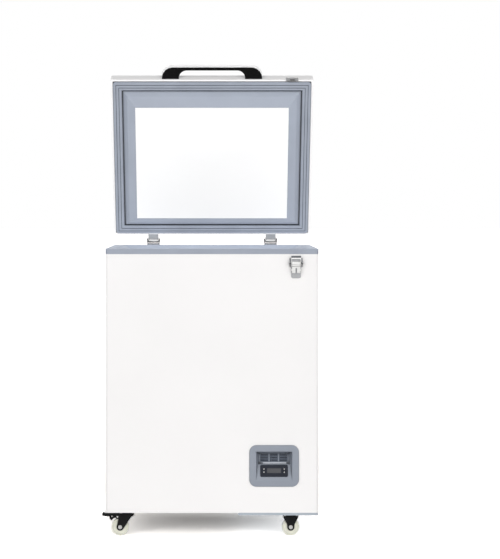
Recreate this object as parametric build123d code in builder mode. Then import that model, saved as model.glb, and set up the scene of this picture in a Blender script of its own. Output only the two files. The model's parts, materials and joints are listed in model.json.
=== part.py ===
from build123d import *
import math
import os

# Chest freezer for ultra low temperatures, on castors, with its lid standing open.
# Millimetres. +X is to the right seen from the front, +Y to the back, +Z up.
# The origin is on the floor under the middle of the cabinet.

# Cabinet shell
CABINET_WIDTH = 600.0
CABINET_DEPTH = 520.0
UNDERSIDE_Z = 72.0
RIM_Z = 814.0
SHEET = 1.2
CORNER_RADIUS = 6.0
REAR_FLANGE = 14.0

# Collar round the mouth
COLLAR_SKIRT = 15.0
COLLAR_INNER_SKIRT = 1.8
COLLAR_WALL = 4.0
COLLAR_LIP_WIDTH = 6.0
COLLAR_LIP_HEIGHT = 7.0
RIM_WIDTH = 30.0
FUNNEL_WIDTH = 50.0
FUNNEL_DROP = 24.0

# Chamber liner, stepped over the compressor bay
LINER_WALL = 1.2
LINER_CORNER = 20.0
WELL_FLOOR_RISE = 80.0
WELL_TO_BAY = 78.8
STEP_FOAM = 70.0
FOAM_CLEARANCE = 0.3

# Evaporator, a flat tube wound round the liner
COIL_THICKNESS = 6.0
COIL_HEIGHT = 12.0
COIL_TURNS = 5
COIL_PITCH = 70.0
COIL_ABOVE_STEP = 40.0
COIL_CORNER = 15.0
COIL_RISE_INSET = 50.0

# Compressor bay and base pan
BAY_WIDTH = 225.8
BAY_HEIGHT = 243.0
PAN_DROP = 7.2
PAN_SHEET = 1.5
PAN_RIM = 12.0

# Lid
LID_FRONT_OVERHANG = 1.0
LID_THICKNESS = 36.0
LID_EDGE_RADIUS = 4.0
LID_LIP = 6.0
OPEN_ANGLE = 64.0
GASKET_WIDTH = 26.0
GASKET_HEIGHT = 7.0
GASKET_CORNER = 9.0
GASKET_CHAMFER = 2.0
GASKET_CLEARANCE = 0.5
GASKET_LINES = 2
GASKET_LINE_WIDTH = 1.6
GASKET_LINE_DEPTH = 1.8
RIM_CLEARANCE = 0.3
GROOVE_WIDTH = 3.0
GROOVE_DEPTH = 3.0
FRAME_WALL = 3.0
FRAME_FLANGE = 2.0
FRAME_RISER = 4.0
OUTER_BEVEL_WIDTH = 13.0
OUTER_BEVEL_RISE = 12.0
INNER_BEVEL_WIDTH = 18.0
INNER_BEVEL_RISE = 10.0
INNER_PANEL_THICKNESS = 2.0
PANEL_LEDGE = 10.0
PANEL_CLEARANCE = 0.2

# Lid handle
HANDLE_LENGTH = 296.0
HANDLE_REACH = 36.5
HANDLE_GRIP = 10.0
HANDLE_THICKNESS = 16.0
HANDLE_FOOT = 50.0
HANDLE_OUTER_RADIUS = 33.0
HANDLE_INNER_RADIUS = 24.0
HANDLE_FROM_LIP = 5.4
HANDLE_EDGE = 1.0
TRIM_THICKNESS = 2.0
TRIM_CLEARANCE = 0.1
TRIM_START = 15.0

# Hinges
HINGE_INSET = 120.0
HINGE_BEHIND = 16.0
HINGE_RISE = 12.0
HINGE_TO_LID = 24.0
PIN_RADIUS = 3.0
PIN_CLEARANCE = 0.05
BARREL_RADIUS = 6.0
LEAF_WIDTH = 32.0
LEAF_THICKNESS = 2.0
LEAF_HEIGHT = 28.0
LEAF_SCREW_RISE = 17.0
BRACKET_CLEARANCE = 0.8
BRACKET_SHEET = 2.5
BRACKET_HEIGHT = 64.0
CHEEK_RADIUS = 9.0
PIN_HEAD_RADIUS = 5.0
PIN_HEAD = 1.5

# Toggle latch on the front, and its keeper on the lid
LATCH_INSET = 64.0
LATCH_BOTTOM_DROP = 82.5
LATCH_TOP_DROP = 19.4
LATCH_PIVOT_DROP = 39.0
LATCH_PIVOT_OUT = 9.0
LATCH_SHEET = 1.6
LATCH_TAB_WIDTH = 27.0
EAR_SPAN = 36.0
EAR_RADIUS = 6.5
LATCH_PIN_RADIUS = 2.5
LATCH_PIN_HEAD_RADIUS = 4.0
LEVER_WIDTH = 23.6
LEVER_SHEET = 2.0
LEVER_BARREL = 4.4
LEVER_LENGTH = 29.0
LEVER_SLOT_WIDTH = 4.0
LEVER_SLOT_HEIGHT = 14.0
LEVER_WING = 3.8
LEVER_WING_DROP = 10.5
HOOK_PIVOT_DROP = 8.0
HOOK_PIVOT_OUT = 3.0
HOOK_PIN_RADIUS = 1.6
HOOK_SHEET = 1.4
HOOK_CLEARANCE = 0.4
HOOK_BAR = 4.6
KEEPER_INSET = 63.0
KEEPER_WIDTH = 36.0
KEEPER_SCREW_PITCH = 22.0
KEEPER_PAST_LIP = 9.0
KEEPER_ON_LID = 13.0
KEEPER_TONGUE = 14.0
KEEPER_REACH = 6.0

# Control bezel with its recess
BEZEL_INSET = 125.5
BEZEL_RISE = 132.0
BEZEL_WIDTH = 139.0
BEZEL_HEIGHT = 116.5
BEZEL_RADIUS = 20.0
BEZEL_PROUD = 4.0
RECESS_WIDTH = 101.6
RECESS_HEIGHT = 81.0
RECESS_DEPTH = 34.0
RECESS_WALL = 3.0
RECESS_DRAFT = 15.0
SLOPE_HEIGHT = 43.0
SLOPE_DEPTH = 16.0
CUTOUT_CLEARANCE = 0.6
WINDOW_COUNT = 3
WINDOW_WIDTH = 24.4
WINDOW_HEIGHT = 22.5
WINDOW_RIB = 2.4
WINDOW_FROM_TOP = 10.0
SCREEN_THICKNESS = 1.5
SCREEN_LAP = 2.0
SCREEN_SLOTS = 5
SCREEN_SLOT = 2.0

# Panel controller on the sloped face
CONTROLLER_WIDTH = 77.0
CONTROLLER_HEIGHT = 34.0
CONTROLLER_CORNER = 3.5
CONTROLLER_RISE = 4.4
CONTROLLER_FRAME = 3.0
CONTROLLER_BODY_WIDTH = 70.6
CONTROLLER_BODY_HEIGHT = 28.6
CONTROLLER_BODY_DEPTH = 45.0
DISPLAY_WIDTH = 39.0
DISPLAY_HEIGHT = 13.5
DISPLAY_DEPTH = 1.5
BUTTON_RADIUS = 3.0
BUTTON_CLEARANCE = 0.3
BUTTON_SPREAD = 28.5
BUTTON_PITCH = 9.0
BUTTON_PROUD = 1.2
BUTTON_TRAVEL = 0.8
BUTTON_FLOOR_GAP = 0.3
BUTTON_SEAT = 0.6

# Air grille on the right side, service cover and mains inlet on the back
GRILLE_FROM_FRONT = 200.0
GRILLE_RISE = 108.0
GRILLE_WIDTH = 200.0
GRILLE_HEIGHT = 180.0
GRILLE_LAP = 10.0
GRILLE_THICKNESS = 3.0
GRILLE_SLOTS = 12
GRILLE_SLOT = 7.0
COVER_INSET = 95.0
COVER_RISE = 123.0
COVER_WIDTH = 140.0
COVER_HEIGHT = 200.0
COVER_LAP = 8.0
LOUVRE_COUNT = 8
LOUVRE_LENGTH = 100.0
LOUVRE_HEIGHT = 10.0
LOUVRE_PROUD = 4.0
INLET_INSET = 200.0
INLET_RISE = 83.0
INLET_WIDTH = 28.0
INLET_HEIGHT = 48.0
INLET_DEPTH = 26.0
SOCKET_WIDTH = 16.5
SOCKET_HEIGHT = 24.5
SOCKET_DEPTH = 17.0
BLADE_SPREAD = 7.0
BLADE_WIDTH = 4.0
BLADE_THICKNESS = 2.0

# Cooling machinery in the bay
COMPRESSOR_FROM_BULKHEAD = 85.0
COMPRESSOR_FROM_REAR = 125.0
COMPRESSOR_RADIUS = 62.0
COMPRESSOR_HEIGHT = 150.0
COMPRESSOR_FLOOR_RADIUS = 50.0
COMPRESSOR_SHOULDER_RADIUS = 51.0
COMPRESSOR_CROWN_RADIUS = 28.0
COMPRESSOR_FLOOR_RISE = 21.0
COMPRESSOR_SHOULDER_DROP = 10.5
COMPRESSOR_CROWN_DROP = 42.0
COMPRESSOR_FOOT_SHEET = 3.0
FOOT_RADIUS = 9.0
FOOT_HEIGHT = 18.0
FOOT_PITCH_X = 110.0
FOOT_PITCH_Y = 130.0
CONDENSER_GAP = 6.0
CONDENSER_DEPTH = 40.0
CONDENSER_LENGTH = 220.0
CONDENSER_HEIGHT = 180.0
CONDENSER_HEADER = 14.0
CONDENSER_TUBES = 9
CONDENSER_TUBE = 3.0
CONDENSER_FINS = 16
FIN_THICKNESS = 1.0
FIN_DEPTH = 6.0
SHROUD_DEPTH = 10.0
FAN_RADIUS = 68.0
FAN_TIP_CLEARANCE = 5.0
FAN_HUB_RADIUS = 18.0
FAN_HUB_LENGTH = 18.0
FAN_BLADES = 5
FAN_ROOT_WIDTH = 26.0
FAN_TIP_WIDTH = 44.0
FAN_BLADE_THICKNESS = 1.6
FAN_PITCH = 24.0
FAN_SHAFT_RADIUS = 3.0
MOTOR_RADIUS = 26.0
MOTOR_LENGTH = 46.0
MOTOR_ARM = 10.0
PIPE_RADIUS = 4.0
PIPE_BEND = 22.0
DRIER_RADIUS = 11.0
DRIER_LENGTH = 80.0
DRIER_NECK_RADIUS = 5.6
DRIER_SHOULDER = 12.0
PROBE_RADIUS = 3.0
PROBE_LENGTH = 60.0
PROBE_DROP = 119.0

# Castors
WHEEL_RADIUS = 25.0
WHEEL_WIDTH = 18.0
WHEEL_CROWN = 1.2
WHEEL_HUB_RADIUS = 11.0
WHEEL_RIM_RADIUS = 20.0
WHEEL_RECESS = 1.5
AXLE_RADIUS = 4.0
AXLE_CLEARANCE = 0.05
AXLE_HEAD_RADIUS = 5.5
AXLE_HEAD = 2.0
FORK_SHEET = 2.0
FORK_GAP = 1.5
FORK_BOSS = 10.0
PLATE_SHEET = 2.5
PLATE_X = 46.0
PLATE_Y = 60.0
SWIVEL_INSET = 60.0
FIXED_INSET = 77.0
CASTOR_INSET = 55.0
SWIVEL_TRAIL = 20.0
CROWN_RADIUS = 20.0
CROWN_SHOULDER = 16.0
CROWN_THICKNESS = 4.0
FORK_NOSE_DROP = 4.0
FORK_LUG = 6.0
RACE_RADIUS = 17.0
RACE_HEIGHT = 3.4
KINGPIN_RADIUS = 4.0
KINGPIN_HEAD_RADIUS = 7.5
KINGPIN_HEAD = 2.4
RUNNING_GAP = 0.1
FIXED_TOP_WIDTH = 47.0
FIXED_WAIST_WIDTH = 25.0
PEDAL_WIDTH = 18.0
PEDAL_PIN_RADIUS = 2.4
PEDAL_BARREL = 4.2
PEDAL_BEHIND_AXLE = 8.0
PEDAL_BELOW_CROWN = 8.0
PEDAL_BACK = 8.0
PEDAL_BACK_LENGTH = 26.0
PEDAL_TOE_REACH = 39.6
PEDAL_TOE_RISE = 6.5
PEDAL_TOE_RADIUS = 4.3
PEDAL_EYE_REACH = 15.4
PEDAL_EYE_RADIUS = 2.4
PEDAL_SHOE_HALF = 7.0
PEDAL_SHOE_DROP = 10.0
BOLT_RADIUS = 4.0
BOLT_SIDES = 6
BOLT_HEAD = 3.0
SCREW_RADIUS = 4.0
SCREW_HEAD = 1.6

# Places worked out from the sizes above
FRONT_Y = -CABINET_DEPTH / 2
REAR_Y = CABINET_DEPTH / 2
INNER_X = CABINET_WIDTH / 2 - SHEET
INNER_FRONT_Y = FRONT_Y + SHEET
PANEL_OUTER_Y = REAR_Y - SHEET
INNER_REAR_Y = PANEL_OUTER_Y - SHEET
INNER_DEPTH = INNER_REAR_Y - INNER_FRONT_Y
INNER_MID_Y = (INNER_REAR_Y + INNER_FRONT_Y) / 2
FRONT_WIDTH = CABINET_WIDTH - 2 * CORNER_RADIUS
WRAP_TOP_Z = RIM_Z - COLLAR_SKIRT
FLOOR_TOP_Z = UNDERSIDE_Z + SHEET
PAN_BOTTOM_Z = UNDERSIDE_Z - PAN_DROP
PAN_TOP_Z = PAN_BOTTOM_Z + PAN_SHEET
BAY_X = INNER_X - BAY_WIDTH
BAY_TOP_Z = UNDERSIDE_Z + BAY_HEIGHT
MOUTH_X = CABINET_WIDTH / 2 - RIM_WIDTH - FUNNEL_WIDTH
MOUTH_Y = CABINET_DEPTH / 2 - RIM_WIDTH - FUNNEL_WIDTH
MOUTH_Z = RIM_Z - FUNNEL_DROP
LIP_Z = MOUTH_Z - COLLAR_LIP_HEIGHT
FUNNEL_TAPER = math.degrees(math.atan2(FUNNEL_WIDTH, FUNNEL_DROP))
SLOPE_WALL = COLLAR_WALL * math.hypot(FUNNEL_WIDTH, FUNNEL_DROP) / FUNNEL_WIDTH
LINER_X = MOUTH_X + LINER_WALL
LINER_Y = MOUTH_Y + LINER_WALL
WELL_WIDTH = MOUTH_X + BAY_X - SHEET - WELL_TO_BAY
WELL_X = -MOUTH_X + WELL_WIDTH / 2
WELL_FLOOR_Z = UNDERSIDE_Z + WELL_FLOOR_RISE
STEP_FLOOR_Z = BAY_TOP_Z + STEP_FOAM
COIL_START_Z = STEP_FLOOR_Z + COIL_ABOVE_STEP
COIL_RISE_HALF = MOUTH_X - COIL_RISE_INSET
PROBE_Z = RIM_Z - PROBE_DROP

HINGE_X = CABINET_WIDTH / 2 - HINGE_INSET
HINGE_Y = REAR_Y + HINGE_BEHIND
HINGE_Z = RIM_Z + HINGE_RISE
LID_LOCATION = Location((0, HINGE_Y, HINGE_Z), (-OPEN_ANGLE, 0, 0))
LID_WIDTH = CABINET_WIDTH
LID_LENGTH = HINGE_Y - HINGE_TO_LID - FRONT_Y + LID_FRONT_OVERHANG
LID_REAR = -HINGE_TO_LID
LID_FRONT = LID_REAR - LID_LENGTH
LID_MIDDLE = (LID_REAR + LID_FRONT) / 2
LIP_LEVEL = GASKET_HEIGHT + RIM_CLEARANCE - HINGE_RISE
BEVEL_EDGE = LID_LIP + GASKET_CLEARANCE + GASKET_WIDTH + GROOVE_WIDTH
BEVEL_WIDTH = OUTER_BEVEL_WIDTH + INNER_BEVEL_WIDTH
PLUG_DEPTH = FRAME_RISER + OUTER_BEVEL_RISE + INNER_BEVEL_RISE - GROOVE_DEPTH
OUTER_TAPER = math.degrees(math.atan2(OUTER_BEVEL_WIDTH, OUTER_BEVEL_RISE))
INNER_TAPER = math.degrees(math.atan2(INNER_BEVEL_WIDTH, INNER_BEVEL_RISE))

KEEPER_X = LID_WIDTH / 2 - KEEPER_INSET
LATCH_X = CABINET_WIDTH / 2 - LATCH_INSET
LATCH_BOTTOM_Z = RIM_Z - LATCH_BOTTOM_DROP
LATCH_TOP_Z = RIM_Z - LATCH_TOP_DROP
LATCH_PIVOT_Z = RIM_Z - LATCH_PIVOT_DROP
LEVER_BOTTOM_Z = LATCH_PIVOT_Z - LEVER_LENGTH

BEZEL_X = CABINET_WIDTH / 2 - BEZEL_INSET
BEZEL_Z = UNDERSIDE_Z + BEZEL_RISE
BEZEL_FACE_Y = FRONT_Y - BEZEL_PROUD
RECESS_BOTTOM_Z = BEZEL_Z - RECESS_HEIGHT / 2
RECESS_TOP_Z = BEZEL_Z + RECESS_HEIGHT / 2
RECESS_BACK_Y = BEZEL_FACE_Y + RECESS_DEPTH
SLOPE_LENGTH = math.hypot(SLOPE_HEIGHT, SLOPE_DEPTH)
WINDOW_Z = RECESS_TOP_Z - WINDOW_FROM_TOP - WINDOW_HEIGHT / 2
GRILLE_Y = FRONT_Y + GRILLE_FROM_FRONT
GRILLE_Z = UNDERSIDE_Z + GRILLE_RISE
COVER_X = CABINET_WIDTH / 2 - COVER_INSET
COVER_Z = UNDERSIDE_Z + COVER_RISE
INLET_X = CABINET_WIDTH / 2 - INLET_INSET
INLET_Z = UNDERSIDE_Z + INLET_RISE
COMPRESSOR_X = BAY_X + COMPRESSOR_FROM_BULKHEAD
COMPRESSOR_Y = REAR_Y - COMPRESSOR_FROM_REAR
CONDENSER_X = INNER_X - CONDENSER_GAP - CONDENSER_DEPTH / 2
CONDENSER_LOW_Z = GRILLE_Z - CONDENSER_HEIGHT / 2
SHROUD_X = CONDENSER_X - CONDENSER_DEPTH / 2 - SHROUD_DEPTH
COMPRESSOR_BASE_Z = PAN_TOP_Z + FOOT_HEIGHT
COMPRESSOR_LOW_Z = COMPRESSOR_BASE_Z + COMPRESSOR_FOOT_SHEET
SWIVEL_X = SWIVEL_INSET - CABINET_WIDTH / 2
FIXED_X = CABINET_WIDTH / 2 - FIXED_INSET
CASTOR_Y = CABINET_DEPTH / 2 - CASTOR_INSET
AXLE_Z = WHEEL_RADIUS
PLATE_LOW_Z = UNDERSIDE_Z - PLATE_SHEET
CROWN_TOP_Z = PLATE_LOW_Z - RACE_HEIGHT - RUNNING_GAP
CROWN_LOW_Z = CROWN_TOP_Z - CROWN_THICKNESS
CHEEK_IN = WHEEL_WIDTH / 2 + FORK_GAP
CHEEK_OUT = CHEEK_IN + FORK_SHEET
PEDAL_X = -SWIVEL_TRAIL - PEDAL_BEHIND_AXLE
PEDAL_Z = CROWN_LOW_Z - PEDAL_BELOW_CROWN


def level(z):
    """Sketch plane at height z: sketch X and Y are the part's X and Y, and it faces up."""
    return Plane.XY.offset(z)


def facing_down(z, y=0.0):
    """Sketch plane at height z that faces down, centred at y."""
    return Plane(origin=(0, y, z), x_dir=(1, 0, 0), z_dir=(0, 0, -1))


def facing_front(y):
    """Sketch plane across the part at y: sketch X and Y are X and Z, and it faces the front."""
    return Plane(origin=(0, y, 0), x_dir=(1, 0, 0), z_dir=(0, -1, 0))


def facing_front_from(x, y, z=0.0):
    """Sketch plane that faces the front, with its own zero at x, y and z."""
    return Plane(origin=(x, y, z), x_dir=(1, 0, 0), z_dir=(0, -1, 0))


def facing_right(x):
    """Sketch plane along the part at x: sketch X and Y are Y and Z, and it faces right."""
    return Plane(origin=(x, 0, 0), x_dir=(0, 1, 0), z_dir=(1, 0, 0))


def on_lid(plane):
    """The same plane on the open lid, where Y and Z are measured from the hinge axis of the shut lid."""
    return Plane(LID_LOCATION * plane.location)


def on_lip(depth):
    """Plane on the lid, depth past its lip towards the chamber, facing the chamber."""
    return on_lid(facing_down(LIP_LEVEL - depth, LID_MIDDLE))


def tangent_point(centre, radius, point, side):
    """Where a line from a point touches a circle, on its left with side 1 or its right with side -1."""
    across, up = point[0] - centre[0], point[1] - centre[1]
    turn = math.atan2(up, across) + side * math.acos(radius / math.hypot(across, up))
    return (centre[0] + radius * math.cos(turn), centre[1] + radius * math.sin(turn))


def write(piece, name):
    """Labels a finished piece and writes its STEP file."""
    piece.part.label = name
    export_step(piece.part, f"parts/{name}.step")


os.makedirs("parts", exist_ok=True)

# Cabinet wrapper: a sheet round each side, folded into the front corner and in at the back
with BuildPart() as cabinet_wrapper:
    with BuildSketch(level(UNDERSIDE_Z)):
        RectangleRounded(CABINET_WIDTH, CABINET_DEPTH, CORNER_RADIUS)
        RectangleRounded(
            2 * INNER_X, CABINET_DEPTH - 2 * SHEET, CORNER_RADIUS - SHEET, mode=Mode.SUBTRACT
        )
        with Locations((0, REAR_Y)):
            Rectangle(CABINET_WIDTH - 2 * REAR_FLANGE, 4 * SHEET, mode=Mode.SUBTRACT)
        with Locations((0, FRONT_Y)):
            Rectangle(FRONT_WIDTH, 4 * SHEET, mode=Mode.SUBTRACT)
    extrude(amount=WRAP_TOP_Z - UNDERSIDE_Z)
    with BuildSketch(facing_right(INNER_X)):
        with Locations((GRILLE_Y, GRILLE_Z)):
            Rectangle(GRILLE_WIDTH, GRILLE_HEIGHT)
    extrude(amount=SHEET, mode=Mode.SUBTRACT)
write(cabinet_wrapper, "cabinet_wrapper")

# Front panel: a flat sheet flush between the wrapper's corners, cut out for the control bezel
with BuildPart() as front_panel:
    with BuildSketch(facing_front(INNER_FRONT_Y)):
        with Locations((0, (UNDERSIDE_Z + WRAP_TOP_Z) / 2)):
            Rectangle(FRONT_WIDTH, WRAP_TOP_Z - UNDERSIDE_Z)
        with Locations((BEZEL_X, BEZEL_Z)):
            Rectangle(
                RECESS_WIDTH + 2 * (RECESS_WALL + CUTOUT_CLEARANCE),
                RECESS_HEIGHT + 2 * (RECESS_WALL + CUTOUT_CLEARANCE),
                mode=Mode.SUBTRACT,
            )
    extrude(amount=SHEET)
write(front_panel, "front_panel")

# Rear panel, held behind the wrapper's return flanges
with BuildPart() as rear_panel:
    with BuildSketch(facing_front(PANEL_OUTER_Y)):
        with Locations((0, (UNDERSIDE_Z + WRAP_TOP_Z) / 2)):
            Rectangle(CABINET_WIDTH - 2 * CORNER_RADIUS, WRAP_TOP_Z - UNDERSIDE_Z)
        with Locations((COVER_X, COVER_Z)):
            Rectangle(COVER_WIDTH - 2 * COVER_LAP, COVER_HEIGHT - 2 * COVER_LAP, mode=Mode.SUBTRACT)
        with Locations((INLET_X, INLET_Z)):
            Rectangle(
                SOCKET_WIDTH + 2 * RECESS_WALL + 2 * CUTOUT_CLEARANCE,
                SOCKET_HEIGHT + 2 * RECESS_WALL + 2 * CUTOUT_CLEARANCE,
                mode=Mode.SUBTRACT,
            )
    extrude(amount=SHEET)
write(rear_panel, "rear_panel")

# Bottom panel under the insulated part
with BuildPart() as bottom_panel:
    with BuildSketch(level(UNDERSIDE_Z)):
        with Locations((0, INNER_MID_Y)):
            RectangleRounded(2 * INNER_X, INNER_DEPTH, CORNER_RADIUS)
        with Locations((BAY_X - SHEET + CABINET_WIDTH / 2, 0)):
            Rectangle(CABINET_WIDTH, 2 * CABINET_DEPTH, mode=Mode.SUBTRACT)
    extrude(amount=SHEET)
write(bottom_panel, "bottom_panel")

# Bulkhead that parts the compressor bay from the insulation, clear of the wrapper's rounded corners
with BuildPart() as compressor_bulkhead:
    with BuildSketch(facing_front(INNER_REAR_Y - CORNER_RADIUS)):
        with BuildLine():
            Polyline(
                (BAY_X - SHEET, UNDERSIDE_Z),
                (BAY_X - SHEET, BAY_TOP_Z + SHEET),
                (INNER_X, BAY_TOP_Z + SHEET),
                (INNER_X, BAY_TOP_Z),
                (BAY_X, BAY_TOP_Z),
                (BAY_X, UNDERSIDE_Z),
                close=True,
            )
        make_face()
    extrude(amount=INNER_DEPTH - 2 * CORNER_RADIUS)
write(compressor_bulkhead, "compressor_bulkhead")

# Base pan, a shallow tray that hangs below the bay and carries the machinery
with BuildPart() as base_pan:
    with BuildSketch(level(PAN_BOTTOM_Z)):
        with Locations((0, INNER_MID_Y)):
            RectangleRounded(2 * INNER_X, INNER_DEPTH, CORNER_RADIUS)
        with Locations((BAY_X - CABINET_WIDTH / 2, 0)):
            Rectangle(CABINET_WIDTH, 2 * CABINET_DEPTH, mode=Mode.SUBTRACT)
    extrude(amount=PAN_DROP + PAN_RIM)
    offset(amount=-PAN_SHEET, openings=base_pan.faces().sort_by(Axis.Z)[-1], kind=Kind.INTERSECTION)
write(base_pan, "base_pan")

# Space under the collar's rim and slope, which the foam fills
with BuildPart() as collar_hollow:
    with BuildSketch(level(LIP_Z)):
        with Locations((0, INNER_MID_Y)):
            Rectangle(
                2 * (INNER_X - COLLAR_INNER_SKIRT) - CORNER_RADIUS,
                INNER_DEPTH - 2 * COLLAR_INNER_SKIRT - CORNER_RADIUS,
            )
        Rectangle(
            2 * (MOUTH_X + COLLAR_LIP_WIDTH), 2 * (MOUTH_Y + COLLAR_LIP_WIDTH), mode=Mode.SUBTRACT
        )
    extrude(amount=RIM_Z - SLOPE_WALL - LIP_Z)
    with BuildSketch(facing_down(RIM_Z - SLOPE_WALL)):
        Rectangle(2 * (MOUTH_X + FUNNEL_WIDTH), 2 * (MOUTH_Y + FUNNEL_WIDTH))
    extrude(amount=RIM_Z - SLOPE_WALL - LIP_Z, taper=FUNNEL_TAPER, mode=Mode.SUBTRACT)

# Collar: skirt band, flat rim and the funnel slope down to the liner
with BuildPart() as top_collar:
    with BuildSketch(level(WRAP_TOP_Z)):
        RectangleRounded(CABINET_WIDTH, CABINET_DEPTH, CORNER_RADIUS)
    extrude(amount=COLLAR_SKIRT)
    with BuildSketch(level(LIP_Z)):
        with Locations((0, INNER_MID_Y)):
            RectangleRounded(2 * INNER_X, INNER_DEPTH, CORNER_RADIUS)
    extrude(amount=WRAP_TOP_Z - LIP_Z)
    with BuildSketch(facing_down(RIM_Z)):
        Rectangle(2 * (MOUTH_X + FUNNEL_WIDTH), 2 * (MOUTH_Y + FUNNEL_WIDTH))
    extrude(amount=FUNNEL_DROP, taper=FUNNEL_TAPER, mode=Mode.SUBTRACT)
    with BuildSketch(level(LIP_Z)):
        Rectangle(2 * MOUTH_X, 2 * MOUTH_Y)
    extrude(amount=COLLAR_LIP_HEIGHT, mode=Mode.SUBTRACT)
    add(collar_hollow.part, mode=Mode.SUBTRACT)
write(top_collar, "top_collar")

# Chamber liner: a deep well on the left, a step over the bay, and a flange under the collar's lip
with BuildPart() as chamber_liner:
    with BuildSketch(level(STEP_FLOOR_Z - LINER_WALL)):
        RectangleRounded(2 * LINER_X, 2 * LINER_Y, LINER_CORNER + LINER_WALL)
    extrude(amount=LIP_Z - STEP_FLOOR_Z + LINER_WALL)
    with BuildSketch(level(WELL_FLOOR_Z - LINER_WALL)):
        with Locations((WELL_X, 0)):
            RectangleRounded(WELL_WIDTH + 2 * LINER_WALL, 2 * LINER_Y, LINER_CORNER + LINER_WALL)
    extrude(amount=STEP_FLOOR_Z - WELL_FLOOR_Z)
    with BuildSketch(level(LIP_Z - LINER_WALL)):
        Rectangle(2 * (MOUTH_X + COLLAR_LIP_WIDTH), 2 * (MOUTH_Y + COLLAR_LIP_WIDTH))
    extrude(amount=LINER_WALL)
    with BuildSketch(level(STEP_FLOOR_Z)):
        RectangleRounded(2 * MOUTH_X, 2 * MOUTH_Y, LINER_CORNER)
    extrude(amount=LIP_Z - STEP_FLOOR_Z, mode=Mode.SUBTRACT)
    with BuildSketch(level(WELL_FLOOR_Z)):
        with Locations((WELL_X, 0)):
            RectangleRounded(WELL_WIDTH, 2 * MOUTH_Y, LINER_CORNER)
    extrude(amount=STEP_FLOOR_Z - WELL_FLOOR_Z, mode=Mode.SUBTRACT)
write(chamber_liner, "chamber_liner")

# Evaporator: flat tube turns round the liner that climb one pitch along the back of each turn
with BuildPart() as evaporator_coil:
    for turn in range(COIL_TURNS):
        turn_z = COIL_START_Z + turn * COIL_PITCH
        with BuildSketch(level(turn_z)):
            RectangleRounded(
                2 * (LINER_X + COIL_THICKNESS), 2 * (LINER_Y + COIL_THICKNESS), COIL_CORNER + COIL_THICKNESS
            )
            RectangleRounded(2 * LINER_X, 2 * LINER_Y, COIL_CORNER, mode=Mode.SUBTRACT)
            with Locations((0, LINER_Y + COIL_THICKNESS / 2)):
                Rectangle(2 * COIL_RISE_HALF, 2 * COIL_THICKNESS, mode=Mode.SUBTRACT)
        extrude(amount=COIL_HEIGHT)
    with BuildSketch(facing_front(LINER_Y + COIL_THICKNESS)):
        for turn in range(COIL_TURNS - 1):
            turn_z = COIL_START_Z + turn * COIL_PITCH
            with BuildLine():
                Polyline(
                    (COIL_RISE_HALF, turn_z),
                    (COIL_RISE_HALF, turn_z + COIL_HEIGHT),
                    (-COIL_RISE_HALF, turn_z + COIL_PITCH + COIL_HEIGHT),
                    (-COIL_RISE_HALF, turn_z + COIL_PITCH),
                    close=True,
                )
            make_face()
    extrude(amount=COIL_THICKNESS)
write(evaporator_coil, "evaporator_coil")

# Cabinet foam, all round the liner, with room for the evaporator
with BuildPart() as cabinet_foam:
    with BuildSketch(level(FLOOR_TOP_Z)):
        with Locations((0, INNER_MID_Y)):
            RectangleRounded(2 * INNER_X, INNER_DEPTH, CORNER_RADIUS)
    extrude(amount=LIP_Z - FLOOR_TOP_Z)
    with BuildSketch(level(FLOOR_TOP_Z)):
        with Locations((BAY_X - SHEET + CABINET_WIDTH / 2, 0)):
            Rectangle(CABINET_WIDTH, 2 * CABINET_DEPTH)
    extrude(amount=BAY_TOP_Z + SHEET - FLOOR_TOP_Z, mode=Mode.SUBTRACT)
    add(collar_hollow.part)
    with BuildSketch(level(STEP_FLOOR_Z - LINER_WALL)):
        RectangleRounded(
            2 * (LINER_X + FOAM_CLEARANCE), 2 * (LINER_Y + FOAM_CLEARANCE), LINER_CORNER + LINER_WALL
        )
    extrude(amount=LIP_Z - STEP_FLOOR_Z + LINER_WALL, mode=Mode.SUBTRACT)
    with BuildSketch(level(WELL_FLOOR_Z - LINER_WALL)):
        with Locations((WELL_X, 0)):
            RectangleRounded(
                WELL_WIDTH + 2 * (LINER_WALL + FOAM_CLEARANCE),
                2 * (LINER_Y + FOAM_CLEARANCE),
                LINER_CORNER + LINER_WALL,
            )
    extrude(amount=STEP_FLOOR_Z - WELL_FLOOR_Z, mode=Mode.SUBTRACT)
    with BuildSketch(level(COIL_START_Z - FOAM_CLEARANCE)):
        RectangleRounded(
            2 * (LINER_X + COIL_THICKNESS + FOAM_CLEARANCE),
            2 * (LINER_Y + COIL_THICKNESS + FOAM_CLEARANCE),
            COIL_CORNER,
        )
    extrude(
        amount=(COIL_TURNS - 1) * COIL_PITCH + COIL_HEIGHT + 2 * FOAM_CLEARANCE, mode=Mode.SUBTRACT
    )
    with BuildSketch(level(LIP_Z - LINER_WALL)):
        Rectangle(2 * (MOUTH_X + COLLAR_LIP_WIDTH), 2 * (MOUTH_Y + COLLAR_LIP_WIDTH))
    extrude(amount=LINER_WALL, mode=Mode.SUBTRACT)
write(cabinet_foam, "cabinet_foam")

# Temperature probe on the chamber's rear wall
with BuildPart() as temperature_probe:
    with BuildSketch(level(PROBE_Z)):
        with Locations((0, MOUTH_Y - 2 * PROBE_RADIUS)):
            Circle(PROBE_RADIUS)
    extrude(amount=PROBE_LENGTH)
    with BuildSketch(level(PROBE_Z + PROBE_LENGTH)):
        with Locations((0, MOUTH_Y - 2 * PROBE_RADIUS)):
            Rectangle(4 * PROBE_RADIUS, 4 * PROBE_RADIUS)
    extrude(amount=4 * PROBE_RADIUS)
write(temperature_probe, "temperature_probe")

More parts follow.
